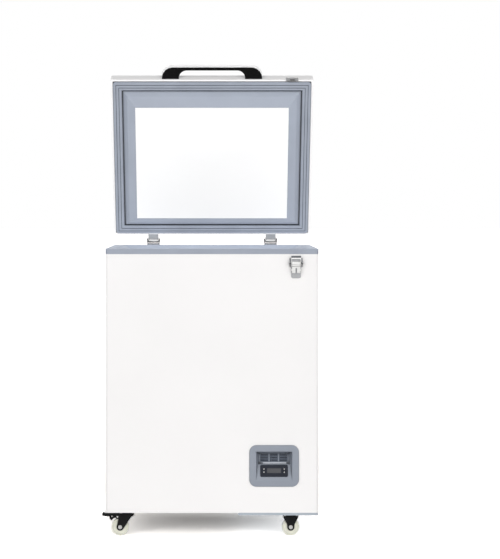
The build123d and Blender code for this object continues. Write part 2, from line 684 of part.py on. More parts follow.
# Control bezel: rounded plate, a recess with a sloped lower face, and three windows in its back wall
CONTROLLER_SHARE = 0.5 + CONTROLLER_RISE / SLOPE_LENGTH
CONTROLLER_Y = BEZEL_FACE_Y + CONTROLLER_SHARE * SLOPE_DEPTH
CONTROLLER_Z = RECESS_BOTTOM_Z + CONTROLLER_SHARE * SLOPE_HEIGHT
SLOPE_OUT = (0, -SLOPE_HEIGHT / SLOPE_LENGTH, SLOPE_DEPTH / SLOPE_LENGTH)
SLOPE_BACK = RECESS_WALL * SLOPE_LENGTH / SLOPE_HEIGHT
LEDGE_LOW = SLOPE_HEIGHT - RECESS_WALL
LEDGE_FRONT_Y = BEZEL_FACE_Y + SLOPE_BACK + LEDGE_LOW * SLOPE_DEPTH / SLOPE_HEIGHT
RECESS_OUTLINE = [
    (BEZEL_FACE_Y, RECESS_BOTTOM_Z),
    (BEZEL_FACE_Y + SLOPE_DEPTH, RECESS_BOTTOM_Z + SLOPE_HEIGHT),
    (RECESS_BACK_Y, RECESS_BOTTOM_Z + SLOPE_HEIGHT),
    (RECESS_BACK_Y, RECESS_TOP_Z),
    (BEZEL_FACE_Y, RECESS_TOP_Z),
]
RECESS_SHELL_OUTLINE = [
    (BEZEL_FACE_Y + BEZEL_PROUD / 2, RECESS_BOTTOM_Z),
    (BEZEL_FACE_Y + SLOPE_BACK, RECESS_BOTTOM_Z),
    (LEDGE_FRONT_Y, RECESS_BOTTOM_Z + LEDGE_LOW),
    (RECESS_BACK_Y + RECESS_WALL, RECESS_BOTTOM_Z + LEDGE_LOW),
    (RECESS_BACK_Y + RECESS_WALL, RECESS_TOP_Z + RECESS_WALL),
    (BEZEL_FACE_Y + BEZEL_PROUD / 2, RECESS_TOP_Z + RECESS_WALL),
]


def on_slope(out):
    """Plane on the bezel's slope at the controller, out along its normal, with sketch Y up the slope."""
    origin = (BEZEL_X, CONTROLLER_Y + out * SLOPE_OUT[1], CONTROLLER_Z + out * SLOPE_OUT[2])
    return Plane(origin=origin, x_dir=(1, 0, 0), z_dir=SLOPE_OUT)


def recess_form(wall, side_outline):
    """The recess as a block with drafted sides, grown by a wall and trimmed to its outline from the side."""
    with BuildPart() as form:
        with BuildSketch(Plane(origin=(BEZEL_X, BEZEL_FACE_Y, BEZEL_Z), x_dir=(1, 0, 0), z_dir=(0, 1, 0))):
            Rectangle(RECESS_WIDTH + 2 * wall, RECESS_HEIGHT + 2 * wall)
        extrude(amount=RECESS_DEPTH + wall, taper=RECESS_DRAFT)
        with BuildSketch(facing_right(BEZEL_X)):
            with BuildLine():
                Polyline(*side_outline, close=True)
            make_face()
        extrude(amount=RECESS_WIDTH, both=True, mode=Mode.INTERSECT)
    return form.part


RECESS_SHELL = recess_form(RECESS_WALL, RECESS_SHELL_OUTLINE)
RECESS_SPACE = recess_form(0.0, RECESS_OUTLINE)


with BuildPart() as control_bezel:
    with BuildSketch(facing_front(FRONT_Y)):
        with Locations((BEZEL_X, BEZEL_Z)):
            RectangleRounded(BEZEL_WIDTH, BEZEL_HEIGHT, BEZEL_RADIUS)
    extrude(amount=BEZEL_PROUD)
    chamfer(control_bezel.faces().sort_by(Axis.Y)[0].edges(), length=BEZEL_PROUD / 3)
    add(RECESS_SHELL)
    add(RECESS_SPACE, mode=Mode.SUBTRACT)
    with BuildSketch(facing_front(RECESS_BACK_Y + RECESS_WALL)):
        with Locations((BEZEL_X, WINDOW_Z)):
            with GridLocations(WINDOW_WIDTH + WINDOW_RIB, 0, WINDOW_COUNT, 1):
                Rectangle(WINDOW_WIDTH, WINDOW_HEIGHT)
    extrude(amount=RECESS_WALL, mode=Mode.SUBTRACT)
    with BuildSketch(on_slope(0)):
        Rectangle(
            CONTROLLER_BODY_WIDTH + 2 * CUTOUT_CLEARANCE, CONTROLLER_BODY_HEIGHT + 2 * CUTOUT_CLEARANCE
        )
    extrude(amount=-2 * RECESS_WALL, mode=Mode.SUBTRACT)
write(control_bezel, "control_bezel")

# Vent screen behind the windows
SCREEN_WIDTH = WINDOW_COUNT * (WINDOW_WIDTH + WINDOW_RIB) - WINDOW_RIB + 2 * SCREEN_LAP
with BuildPart() as vent_screen:
    with BuildSketch(facing_front(RECESS_BACK_Y + RECESS_WALL + SCREEN_THICKNESS)):
        with Locations((BEZEL_X, WINDOW_Z)):
            Rectangle(SCREEN_WIDTH, WINDOW_HEIGHT + 2 * SCREEN_LAP)
        with Locations((BEZEL_X, WINDOW_Z)):
            with GridLocations(
                WINDOW_WIDTH + WINDOW_RIB, WINDOW_HEIGHT / SCREEN_SLOTS, WINDOW_COUNT, SCREEN_SLOTS
            ):
                Rectangle(WINDOW_WIDTH - 2 * SCREEN_LAP, SCREEN_SLOT, mode=Mode.SUBTRACT)
    extrude(amount=SCREEN_THICKNESS)
write(vent_screen, "vent_screen")

# Panel controller: framed case in the sloped face, display window and four push buttons
BUTTON_PLACES = [(side * BUTTON_SPREAD, row * BUTTON_PITCH / 2) for row in (1, -1) for side in (-1, 1)]
BUTTON_WELL = BUTTON_TRAVEL + BUTTON_FLOOR_GAP + BUTTON_SEAT
with BuildPart() as controller_case:
    with BuildSketch(on_slope(0)):
        RectangleRounded(CONTROLLER_WIDTH, CONTROLLER_HEIGHT, CONTROLLER_CORNER)
    extrude(amount=CONTROLLER_FRAME)
    chamfer(controller_case.faces().sort_by(Axis.Y)[0].edges(), length=CONTROLLER_FRAME / 3)
    with BuildSketch(on_slope(0)):
        Rectangle(CONTROLLER_BODY_WIDTH, CONTROLLER_BODY_HEIGHT)
    extrude(amount=-CONTROLLER_BODY_DEPTH)
    with BuildSketch(on_slope(CONTROLLER_FRAME)):
        Rectangle(DISPLAY_WIDTH + 2 * PANEL_CLEARANCE, DISPLAY_HEIGHT + 2 * PANEL_CLEARANCE)
    extrude(amount=-DISPLAY_DEPTH, mode=Mode.SUBTRACT)
    with BuildSketch(on_slope(CONTROLLER_FRAME)):
        with Locations(*BUTTON_PLACES):
            Circle(BUTTON_RADIUS + BUTTON_CLEARANCE)
    extrude(amount=-BUTTON_WELL, mode=Mode.SUBTRACT)
write(controller_case, "controller_case")

with BuildPart() as display_window:
    with BuildSketch(on_slope(CONTROLLER_FRAME - DISPLAY_DEPTH)):
        Rectangle(DISPLAY_WIDTH, DISPLAY_HEIGHT)
    extrude(amount=DISPLAY_DEPTH)
write(display_window, "display_window")

BUTTON_NAMES = ["button_set", "button_up", "button_alarm", "button_down"]
for button_name, button_place in zip(BUTTON_NAMES, BUTTON_PLACES):
    with BuildPart() as controller_button:
        with BuildSketch(on_slope(CONTROLLER_FRAME - BUTTON_SEAT)):
            with Locations(button_place):
                Circle(BUTTON_RADIUS)
        extrude(amount=BUTTON_SEAT + BUTTON_PROUD)
    write(controller_button, button_name)

# Air grille on the right side: a lapped plate with long slots
with BuildPart() as side_grille:
    with BuildSketch(facing_right(CABINET_WIDTH / 2)):
        with Locations((GRILLE_Y, GRILLE_Z)):
            RectangleRounded(GRILLE_WIDTH + 2 * GRILLE_LAP, GRILLE_HEIGHT + 2 * GRILLE_LAP, GRILLE_LAP / 2)
            with GridLocations(0, GRILLE_HEIGHT / GRILLE_SLOTS, 1, GRILLE_SLOTS):
                Rectangle(GRILLE_WIDTH - GRILLE_LAP, GRILLE_SLOT, mode=Mode.SUBTRACT)
    extrude(amount=GRILLE_THICKNESS)
write(side_grille, "side_grille")

# Service cover on the back, with pressed louvres open along their lower edge
LOUVRE_PITCH = (COVER_HEIGHT - 4 * COVER_LAP) / LOUVRE_COUNT
LOUVRE_LOW_Z = COVER_Z - LOUVRE_PITCH * (LOUVRE_COUNT - 1) / 2 - LOUVRE_HEIGHT / 2
with BuildPart() as rear_cover:
    with BuildSketch(facing_front(PANEL_OUTER_Y + SHEET)):
        with Locations((COVER_X, COVER_Z)):
            Rectangle(COVER_WIDTH, COVER_HEIGHT)
            with GridLocations(0, LOUVRE_PITCH, 1, LOUVRE_COUNT):
                Rectangle(LOUVRE_LENGTH - 2 * SHEET, LOUVRE_HEIGHT - 2 * SHEET, mode=Mode.SUBTRACT)
    extrude(amount=SHEET)
    with BuildSketch(facing_right(COVER_X)):
        for louvre in range(LOUVRE_COUNT):
            low_z = LOUVRE_LOW_Z + louvre * LOUVRE_PITCH
            with BuildLine():
                Polyline(
                    (PANEL_OUTER_Y + SHEET, low_z + LOUVRE_HEIGHT),
                    (PANEL_OUTER_Y + SHEET + LOUVRE_PROUD, low_z),
                    (PANEL_OUTER_Y + LOUVRE_PROUD, low_z),
                    (PANEL_OUTER_Y + SHEET, low_z + LOUVRE_HEIGHT - 2 * SHEET),
                    close=True,
                )
            make_face()
    extrude(amount=LOUVRE_LENGTH / 2, both=True)
write(rear_cover, "rear_cover")

# Mains inlet on the back: flanged body with a socket and three blades
with BuildPart() as power_inlet:
    with BuildSketch(facing_front(PANEL_OUTER_Y + SHEET)):
        with Locations((INLET_X, INLET_Z)):
            RectangleRounded(INLET_WIDTH, INLET_HEIGHT, RECESS_WALL)
    extrude(amount=SHEET)
    with BuildSketch(facing_front(PANEL_OUTER_Y)):
        with Locations((INLET_X, INLET_Z)):
            Rectangle(SOCKET_WIDTH + 2 * RECESS_WALL, SOCKET_HEIGHT + 2 * RECESS_WALL)
    extrude(amount=INLET_DEPTH)
    with BuildSketch(facing_front(PANEL_OUTER_Y + SHEET)):
        with Locations((INLET_X, INLET_Z)):
            Rectangle(SOCKET_WIDTH, SOCKET_HEIGHT)
    extrude(amount=SOCKET_DEPTH, mode=Mode.SUBTRACT)
    with BuildSketch(facing_front(PANEL_OUTER_Y + SHEET - SOCKET_DEPTH / 4)):
        with Locations((INLET_X, INLET_Z)):
            with Locations((BLADE_WIDTH / 2, 0)):
                Rectangle(BLADE_WIDTH, BLADE_THICKNESS)
            with Locations((-BLADE_WIDTH / 2, BLADE_SPREAD), (-BLADE_WIDTH / 2, -BLADE_SPREAD)):
                Rectangle(BLADE_WIDTH, BLADE_THICKNESS)
    extrude(amount=SOCKET_DEPTH * 3 / 4)
write(power_inlet, "power_inlet")

# Compressor: a welded can with a seam band, on a foot plate with rubber feet
with BuildPart() as compressor:
    with BuildSketch(facing_front_from(COMPRESSOR_X, COMPRESSOR_Y, COMPRESSOR_LOW_Z)):
        with BuildLine():
            Polyline(
                (0, 0),
                (COMPRESSOR_FLOOR_RADIUS, 0),
                (COMPRESSOR_RADIUS, COMPRESSOR_FLOOR_RISE),
                (COMPRESSOR_RADIUS, COMPRESSOR_HEIGHT - COMPRESSOR_CROWN_DROP),
                (COMPRESSOR_SHOULDER_RADIUS, COMPRESSOR_HEIGHT - COMPRESSOR_SHOULDER_DROP),
                (COMPRESSOR_CROWN_RADIUS, COMPRESSOR_HEIGHT),
                (0, COMPRESSOR_HEIGHT),
                close=True,
            )
        make_face()
    revolve(axis=Axis((COMPRESSOR_X, COMPRESSOR_Y, 0), (0, 0, 1)))
    with BuildSketch(level(COMPRESSOR_BASE_Z)):
        with Locations((COMPRESSOR_X, COMPRESSOR_Y)):
            RectangleRounded(
                FOOT_PITCH_X + 2 * FOOT_RADIUS, FOOT_PITCH_Y + 2 * FOOT_RADIUS, FOOT_RADIUS
            )
    extrude(amount=COMPRESSOR_FOOT_SHEET)
    with BuildSketch(facing_front(COMPRESSOR_Y)):
        with Locations((COMPRESSOR_X, COMPRESSOR_LOW_Z + COMPRESSOR_HEIGHT / 2)):
            Rectangle(COMPRESSOR_RADIUS, COMPRESSOR_HEIGHT / 3)
    extrude(amount=COMPRESSOR_RADIUS + CONDENSER_HEADER)
write(compressor, "compressor")

with BuildPart() as compressor_feet:
    with BuildSketch(level(PAN_TOP_Z)):
        with Locations((COMPRESSOR_X, COMPRESSOR_Y)):
            with GridLocations(FOOT_PITCH_X, FOOT_PITCH_Y, 2, 2):
                Circle(FOOT_RADIUS)
    extrude(amount=FOOT_HEIGHT)
write(compressor_feet, "compressor_feet")

# Condenser beside the grille: two headers, flat tubes between them and fins across their inner face
with BuildPart() as condenser:
    with BuildSketch(level(PAN_TOP_Z)):
        with Locations((CONDENSER_X, GRILLE_Y)):
            with GridLocations(0, CONDENSER_LENGTH - CONDENSER_HEADER, 1, 2):
                Rectangle(CONDENSER_DEPTH, CONDENSER_HEADER)
    extrude(amount=CONDENSER_LOW_Z + CONDENSER_HEIGHT - PAN_TOP_Z)
    with BuildSketch(facing_right(CONDENSER_X)):
        with Locations((GRILLE_Y, GRILLE_Z)):
            with GridLocations(0, CONDENSER_HEIGHT / CONDENSER_TUBES, 1, CONDENSER_TUBES):
                Rectangle(CONDENSER_LENGTH - CONDENSER_HEADER, CONDENSER_TUBE)
    extrude(amount=CONDENSER_DEPTH / 2 - FIN_DEPTH, both=True)
    with BuildSketch(facing_right(CONDENSER_X + CONDENSER_DEPTH / 2 - FIN_DEPTH)):
        with Locations((GRILLE_Y, GRILLE_Z)):
            with GridLocations(
                (CONDENSER_LENGTH - 2 * CONDENSER_HEADER) / CONDENSER_FINS, 0, CONDENSER_FINS, 1
            ):
                Rectangle(FIN_THICKNESS, CONDENSER_HEIGHT)
    extrude(amount=FIN_DEPTH)
write(condenser, "condenser")

# Fan shroud: a shallow box against the condenser with a round opening
with BuildPart() as fan_shroud:
    with BuildSketch(facing_right(SHROUD_X)):
        with Locations((GRILLE_Y, GRILLE_Z)):
            Rectangle(CONDENSER_LENGTH, CONDENSER_HEIGHT)
    extrude(amount=SHROUD_DEPTH)
    with BuildSketch(facing_right(SHROUD_X + SHEET)):
        with Locations((GRILLE_Y, GRILLE_Z)):
            Rectangle(CONDENSER_LENGTH - 2 * SHEET, CONDENSER_HEIGHT - 2 * SHEET)
    extrude(amount=SHROUD_DEPTH - SHEET, mode=Mode.SUBTRACT)
    with BuildSketch(facing_right(SHROUD_X)):
        with Locations((GRILLE_Y, GRILLE_Z)):
            Circle(FAN_RADIUS + FAN_TIP_CLEARANCE)
    extrude(amount=SHEET, mode=Mode.SUBTRACT)
write(fan_shroud, "fan_shroud")

# Fan motor with its shaft, held by two arms on the shroud
FAN_X = SHROUD_X - FAN_HUB_LENGTH
MOTOR_X = FAN_X - FAN_TIP_CLEARANCE
with BuildPart() as fan_motor:
    with BuildSketch(facing_right(MOTOR_X)):
        with Locations((GRILLE_Y, GRILLE_Z)):
            Circle(MOTOR_RADIUS)
    extrude(amount=-MOTOR_LENGTH)
    with BuildSketch(facing_right(MOTOR_X)):
        with Locations((GRILLE_Y, GRILLE_Z)):
            Circle(FAN_SHAFT_RADIUS)
    extrude(amount=FAN_HUB_LENGTH + FAN_TIP_CLEARANCE)
    with BuildSketch(facing_right(MOTOR_X - FAN_TIP_CLEARANCE)):
        with Locations((GRILLE_Y, GRILLE_Z)):
            Rectangle(2 * (FAN_RADIUS + 2 * MOTOR_ARM), MOTOR_ARM)
    extrude(amount=-SHEET * 2)
    with BuildSketch(facing_right(MOTOR_X - FAN_TIP_CLEARANCE)):
        with Locations((GRILLE_Y, GRILLE_Z)):
            with GridLocations(2 * (FAN_RADIUS + 2 * MOTOR_ARM) - 2 * SHEET, 0, 2, 1):
                Rectangle(2 * SHEET, MOTOR_ARM)
    extrude(amount=FAN_HUB_LENGTH + 2 * FAN_TIP_CLEARANCE)
write(fan_motor, "fan_motor")

# Fan: hub and pitched blades
with BuildPart() as fan_blade:
    with BuildSketch(facing_right(FAN_X)):
        with Locations((GRILLE_Y, GRILLE_Z)):
            Circle(FAN_HUB_RADIUS)
    extrude(amount=FAN_HUB_LENGTH)
    hub_middle = Vector(FAN_X + FAN_HUB_LENGTH / 2, GRILLE_Y, GRILLE_Z)
    tip_radius = FAN_RADIUS - FAN_TIP_CLEARANCE
    pitch = math.radians(FAN_PITCH)
    for blade in range(FAN_BLADES):
        turn = 2 * math.pi * blade / FAN_BLADES
        out = Vector(0, math.cos(turn), math.sin(turn))
        along = Vector(math.sin(pitch), -math.sin(turn) * math.cos(pitch), math.cos(turn) * math.cos(pitch))
        with BuildSketch(Plane(origin=hub_middle, x_dir=out, z_dir=out.cross(along))):
            with BuildLine():
                Polyline(
                    (FAN_HUB_RADIUS - FAN_SHAFT_RADIUS, -FAN_ROOT_WIDTH / 2),
                    (tip_radius, -FAN_TIP_WIDTH / 2),
                    (tip_radius, FAN_TIP_WIDTH / 2),
                    (FAN_HUB_RADIUS - FAN_SHAFT_RADIUS, FAN_ROOT_WIDTH / 2),
                    close=True,
                )
            make_face()
        extrude(amount=FAN_BLADE_THICKNESS / 2, both=True)
    with BuildSketch(facing_right(FAN_X)):
        with Locations((GRILLE_Y, GRILLE_Z)):
            Circle(FAN_SHAFT_RADIUS + PIN_CLEARANCE)
    extrude(amount=FAN_HUB_LENGTH, mode=Mode.SUBTRACT)
write(fan_blade, "fan_blade")

# Filter drier, a lying capsule in the liquid line
DRIER_Y = GRILLE_Y - CONDENSER_LENGTH / 2 - 2 * PIPE_BEND
DRIER_Z = PAN_TOP_Z + 2 * DRIER_RADIUS
DRIER_RIGHT_X = CONDENSER_X - 2 * PIPE_BEND
DRIER_LEFT_X = DRIER_RIGHT_X - DRIER_LENGTH
with BuildPart() as filter_drier:
    with BuildSketch(facing_front_from(DRIER_LEFT_X, DRIER_Y, DRIER_Z)):
        with BuildLine():
            Polyline(
                (0, 0),
                (0, DRIER_NECK_RADIUS),
                (DRIER_SHOULDER, DRIER_RADIUS),
                (DRIER_LENGTH - DRIER_SHOULDER, DRIER_RADIUS),
                (DRIER_LENGTH, DRIER_NECK_RADIUS),
                (DRIER_LENGTH, 0),
                close=True,
            )
        make_face()
    revolve(axis=Axis((DRIER_LEFT_X, DRIER_Y, DRIER_Z), (1, 0, 0)))
write(filter_drier, "filter_drier")

# Refrigerant pipes: discharge, liquid line, capillary and suction
DISCHARGE_Z = COMPRESSOR_LOW_Z + COMPRESSOR_HEIGHT / 2
SUCTION_Y = COMPRESSOR_Y + COMPRESSOR_RADIUS + PIPE_BEND + 2 * PIPE_RADIUS
CAPILLARY_X = BAY_X + 2 * PIPE_BEND - PIPE_RADIUS
PIPE_ROUTES = [
    [
        (COMPRESSOR_X + COMPRESSOR_RADIUS, COMPRESSOR_Y, DISCHARGE_Z),
        (CONDENSER_X, COMPRESSOR_Y, DISCHARGE_Z),
        (CONDENSER_X, GRILLE_Y + CONDENSER_LENGTH / 2, DISCHARGE_Z),
    ],
    [
        (CONDENSER_X, GRILLE_Y - CONDENSER_LENGTH / 2, DRIER_Z),
        (CONDENSER_X, DRIER_Y, DRIER_Z),
        (DRIER_RIGHT_X, DRIER_Y, DRIER_Z),
    ],
    [
        (DRIER_LEFT_X, DRIER_Y, DRIER_Z),
        (CAPILLARY_X, DRIER_Y, DRIER_Z),
        (CAPILLARY_X, DRIER_Y, BAY_TOP_Z),
    ],
    [
        (COMPRESSOR_X, COMPRESSOR_Y + COMPRESSOR_RADIUS, DISCHARGE_Z),
        (COMPRESSOR_X, SUCTION_Y, DISCHARGE_Z),
        (COMPRESSOR_X, SUCTION_Y, BAY_TOP_Z),
    ],
]
with BuildPart() as refrigerant_pipes:
    for route in PIPE_ROUTES:
        with BuildLine() as pipe_path:
            FilletPolyline(*route, radius=PIPE_BEND)
        with BuildSketch(Plane(origin=pipe_path.line @ 0, z_dir=pipe_path.line % 0)):
            Circle(PIPE_RADIUS)
        sweep(path=pipe_path.line)
write(refrigerant_pipes, "refrigerant_pipes")

# Lid shell: a pressed steel cap with a folded lip
with BuildPart() as lid_cavity:
    with BuildSketch(on_lip(SHEET - LID_THICKNESS)):
        RectangleRounded(LID_WIDTH - 2 * SHEET, LID_LENGTH - 2 * SHEET, CORNER_RADIUS - SHEET)
    extrude(amount=LID_THICKNESS - 2 * SHEET)
    lid_ceiling = lid_cavity.faces().sort_by(Axis(LID_LOCATION.position, on_lip(0).z_dir))[0]
    fillet(lid_ceiling.edges(), radius=LID_EDGE_RADIUS - SHEET)

with BuildPart() as lid_shell:
    with BuildSketch(on_lip(-LID_THICKNESS)):
        RectangleRounded(LID_WIDTH, LID_LENGTH, CORNER_RADIUS)
    extrude(amount=LID_THICKNESS)
    lid_top = lid_shell.faces().sort_by(Axis(LID_LOCATION.position, on_lip(0).z_dir))[0]
    fillet(lid_top.edges(), radius=LID_EDGE_RADIUS)
    add(lid_cavity.part, mode=Mode.SUBTRACT)
    with BuildSketch(on_lip(-SHEET)):
        Rectangle(LID_WIDTH - 2 * LID_LIP, LID_LENGTH - 2 * LID_LIP)
    extrude(amount=SHEET, mode=Mode.SUBTRACT)
write(lid_shell, "lid_shell")

# Lid foam: fills the shell and the hollow plug
FRAME_TOP = -GROOVE_DEPTH - FRAME_FLANGE
PLUG_WIDTH = LID_WIDTH - 2 * BEVEL_EDGE
PLUG_LENGTH = LID_LENGTH - 2 * BEVEL_EDGE
LEDGE_DEPTH = PLUG_DEPTH - INNER_PANEL_THICKNESS
FACET_DEPTH = FRAME_TOP + FRAME_RISER + OUTER_BEVEL_RISE
LOWER_FACET_RISE = LEDGE_DEPTH - FRAME_FLANGE - FACET_DEPTH
PANEL_WIDTH = PLUG_WIDTH - 2 * BEVEL_WIDTH
PANEL_LENGTH = PLUG_LENGTH - 2 * BEVEL_WIDTH
with BuildPart() as lid_foam:
    with BuildSketch(on_lip(SHEET - LID_THICKNESS)):
        RectangleRounded(LID_WIDTH - 2 * SHEET, LID_LENGTH - 2 * SHEET, CORNER_RADIUS)
    extrude(amount=LID_THICKNESS - SHEET + FRAME_TOP)
    foam_top = lid_foam.faces().sort_by(Axis(LID_LOCATION.position, on_lip(0).z_dir))[0]
    chamfer(foam_top.edges(), length=LID_EDGE_RADIUS)
    with BuildSketch(on_lip(FRAME_TOP)):
        Rectangle(PLUG_WIDTH - 2 * FRAME_WALL, PLUG_LENGTH - 2 * FRAME_WALL)
    extrude(amount=FRAME_RISER)
    with BuildSketch(on_lip(FRAME_TOP + FRAME_RISER)):
        Rectangle(PLUG_WIDTH - 2 * FRAME_WALL, PLUG_LENGTH - 2 * FRAME_WALL)
    extrude(amount=OUTER_BEVEL_RISE, taper=OUTER_TAPER)
    with BuildSketch(on_lip(FACET_DEPTH)):
        Rectangle(
            PLUG_WIDTH - 2 * (FRAME_WALL + OUTER_BEVEL_WIDTH),
            PLUG_LENGTH - 2 * (FRAME_WALL + OUTER_BEVEL_WIDTH),
        )
    extrude(amount=LOWER_FACET_RISE, taper=INNER_TAPER)
    with BuildSketch(on_lip(LEDGE_DEPTH - FRAME_FLANGE)):
        Rectangle(PANEL_WIDTH - 2 * PANEL_LEDGE, PANEL_LENGTH - 2 * PANEL_LEDGE)
    extrude(amount=FRAME_FLANGE)
write(lid_foam, "lid_foam")

# Plug frame: flange behind the gasket, a riser, two bevel facets, and a ledge for the inner panel
with BuildPart() as lid_frame:
    with BuildSketch(on_lip(FRAME_TOP)):
        Rectangle(LID_WIDTH - 2 * LID_LIP, LID_LENGTH - 2 * LID_LIP)
    extrude(amount=FRAME_FLANGE)
    with BuildSketch(on_lip(-GROOVE_DEPTH)):
        Rectangle(PLUG_WIDTH, PLUG_LENGTH)
    extrude(amount=FRAME_RISER)
    with BuildSketch(on_lip(FRAME_RISER - GROOVE_DEPTH)):
        Rectangle(PLUG_WIDTH, PLUG_LENGTH)
    extrude(amount=OUTER_BEVEL_RISE, taper=OUTER_TAPER)
    with BuildSketch(on_lip(FRAME_RISER + OUTER_BEVEL_RISE - GROOVE_DEPTH)):
        Rectangle(PLUG_WIDTH - 2 * OUTER_BEVEL_WIDTH, PLUG_LENGTH - 2 * OUTER_BEVEL_WIDTH)
    extrude(amount=INNER_BEVEL_RISE, taper=INNER_TAPER)
    add(lid_foam.part, mode=Mode.SUBTRACT)
    with BuildSketch(on_lip(LEDGE_DEPTH)):
        Rectangle(PANEL_WIDTH, PANEL_LENGTH)
    extrude(amount=INNER_PANEL_THICKNESS, mode=Mode.SUBTRACT)
write(lid_frame, "lid_frame")

with BuildPart() as lid_inner_panel:
    with BuildSketch(on_lip(LEDGE_DEPTH)):
        Rectangle(PANEL_WIDTH - 2 * PANEL_CLEARANCE, PANEL_LENGTH - 2 * PANEL_CLEARANCE)
    extrude(amount=INNER_PANEL_THICKNESS)
write(lid_inner_panel, "lid_inner_panel")

# Gasket: a soft ring with a chamfered crest, grooved along its length, that meets the collar's rim
GASKET_EDGE = LID_LIP + GASKET_CLEARANCE
GASKET_LINE_PITCH = GASKET_WIDTH / (GASKET_LINES + 1)
with BuildPart() as lid_gasket:
    with BuildSketch(on_lip(-GROOVE_DEPTH)):
        RectangleRounded(LID_WIDTH - 2 * GASKET_EDGE, LID_LENGTH - 2 * GASKET_EDGE, GASKET_CORNER)
        Rectangle(
            LID_WIDTH - 2 * (GASKET_EDGE + GASKET_WIDTH),
            LID_LENGTH - 2 * (GASKET_EDGE + GASKET_WIDTH),
            mode=Mode.SUBTRACT,
        )
    extrude(amount=GROOVE_DEPTH + GASKET_HEIGHT)
    crest = lid_gasket.faces().sort_by(Axis(LID_LOCATION.position, on_lip(0).z_dir))[-1]
    chamfer(crest.edges(), length=GASKET_CHAMFER)
    for line in range(GASKET_LINES):
        line_edge = GASKET_EDGE + (line + 1) * GASKET_LINE_PITCH - GASKET_LINE_WIDTH / 2
        with BuildSketch(on_lip(GASKET_HEIGHT)):
            Rectangle(LID_WIDTH - 2 * line_edge, LID_LENGTH - 2 * line_edge)
            Rectangle(
                LID_WIDTH - 2 * (line_edge + GASKET_LINE_WIDTH),
                LID_LENGTH - 2 * (line_edge + GASKET_LINE_WIDTH),
                mode=Mode.SUBTRACT,
            )
        extrude(amount=-GASKET_LINE_DEPTH, mode=Mode.SUBTRACT)
write(lid_gasket, "lid_gasket")

# Handle: a bow on the lid's front edge, and a trim strip over its outer face
HANDLE_PLANE = on_lid(facing_down(LIP_LEVEL + HANDLE_FROM_LIP + HANDLE_THICKNESS, LID_FRONT))
TRIM_PLANE = HANDLE_PLANE.offset(HANDLE_EDGE)


def bow_outline(growth):
    """Sketch of the bow's outer outline, grown by an amount all round."""
    with BuildSketch() as outline:
        with Locations((0, (HANDLE_REACH + growth) / 2)):
            Rectangle(HANDLE_LENGTH + 2 * growth, HANDLE_REACH + growth)
        fillet(outline.vertices().group_by(Axis.Y)[-1], radius=HANDLE_OUTER_RADIUS + growth)
    return outline.sketch


BOW_OUTLINE = bow_outline(0.0)
TRIM_INNER_OUTLINE = bow_outline(TRIM_CLEARANCE)
TRIM_OUTER_OUTLINE = bow_outline(TRIM_CLEARANCE + TRIM_THICKNESS)
with BuildPart() as lid_handle:
    with BuildSketch(HANDLE_PLANE):
        add(BOW_OUTLINE)
    extrude(amount=HANDLE_THICKNESS)
    with BuildSketch(HANDLE_PLANE) as finger_gap:
        with Locations((0, (HANDLE_REACH - HANDLE_GRIP) / 2)):
            Rectangle(HANDLE_LENGTH - 2 * HANDLE_FOOT, HANDLE_REACH - HANDLE_GRIP)
        fillet(finger_gap.vertices().group_by(Axis.Y)[-1], radius=HANDLE_INNER_RADIUS)
    extrude(amount=HANDLE_THICKNESS, mode=Mode.SUBTRACT)
    along_lip = Axis(LID_LOCATION.position, HANDLE_PLANE.z_dir)
    handle_rims = lid_handle.faces().filter_by(along_lip)
    bow_edges = [
        edge
        for edge in handle_rims.edges()
        if HANDLE_PLANE.to_local_coords(edge.center()).Y > HANDLE_EDGE
    ]
    chamfer(bow_edges, length=HANDLE_EDGE)
write(lid_handle, "lid_handle")

with BuildPart() as handle_trim:
    with BuildSketch(TRIM_PLANE):
        add(TRIM_OUTER_OUTLINE)
        add(TRIM_INNER_OUTLINE, mode=Mode.SUBTRACT)
        with Locations((0, TRIM_START - HANDLE_REACH / 2)):
            Rectangle(2 * HANDLE_LENGTH, HANDLE_REACH, mode=Mode.SUBTRACT)
    extrude(amount=HANDLE_THICKNESS - 2 * HANDLE_EDGE)
write(handle_trim, "handle_trim")

# Hinges: leaves on the lid, brackets on the cabinet, and a pin through each pair
BARREL_BORE = PIN_RADIUS + PIN_CLEARANCE
with BuildPart() as hinge_leaves:
    for side in (-1, 1):
        with BuildSketch(on_lid(facing_right(side * HINGE_X))):
            with Locations((LID_REAR + LEAF_THICKNESS / 2, LEAF_HEIGHT / 2 - LEAF_THICKNESS)):
                Rectangle(LEAF_THICKNESS, LEAF_HEIGHT)
            with Locations((LID_REAR / 2, 0)):
                Rectangle(HINGE_TO_LID, 2 * LEAF_THICKNESS)
            Circle(BARREL_RADIUS)
            Circle(BARREL_BORE, mode=Mode.SUBTRACT)
        extrude(amount=LEAF_WIDTH / 2, both=True)
write(hinge_leaves, "hinge_leaves")

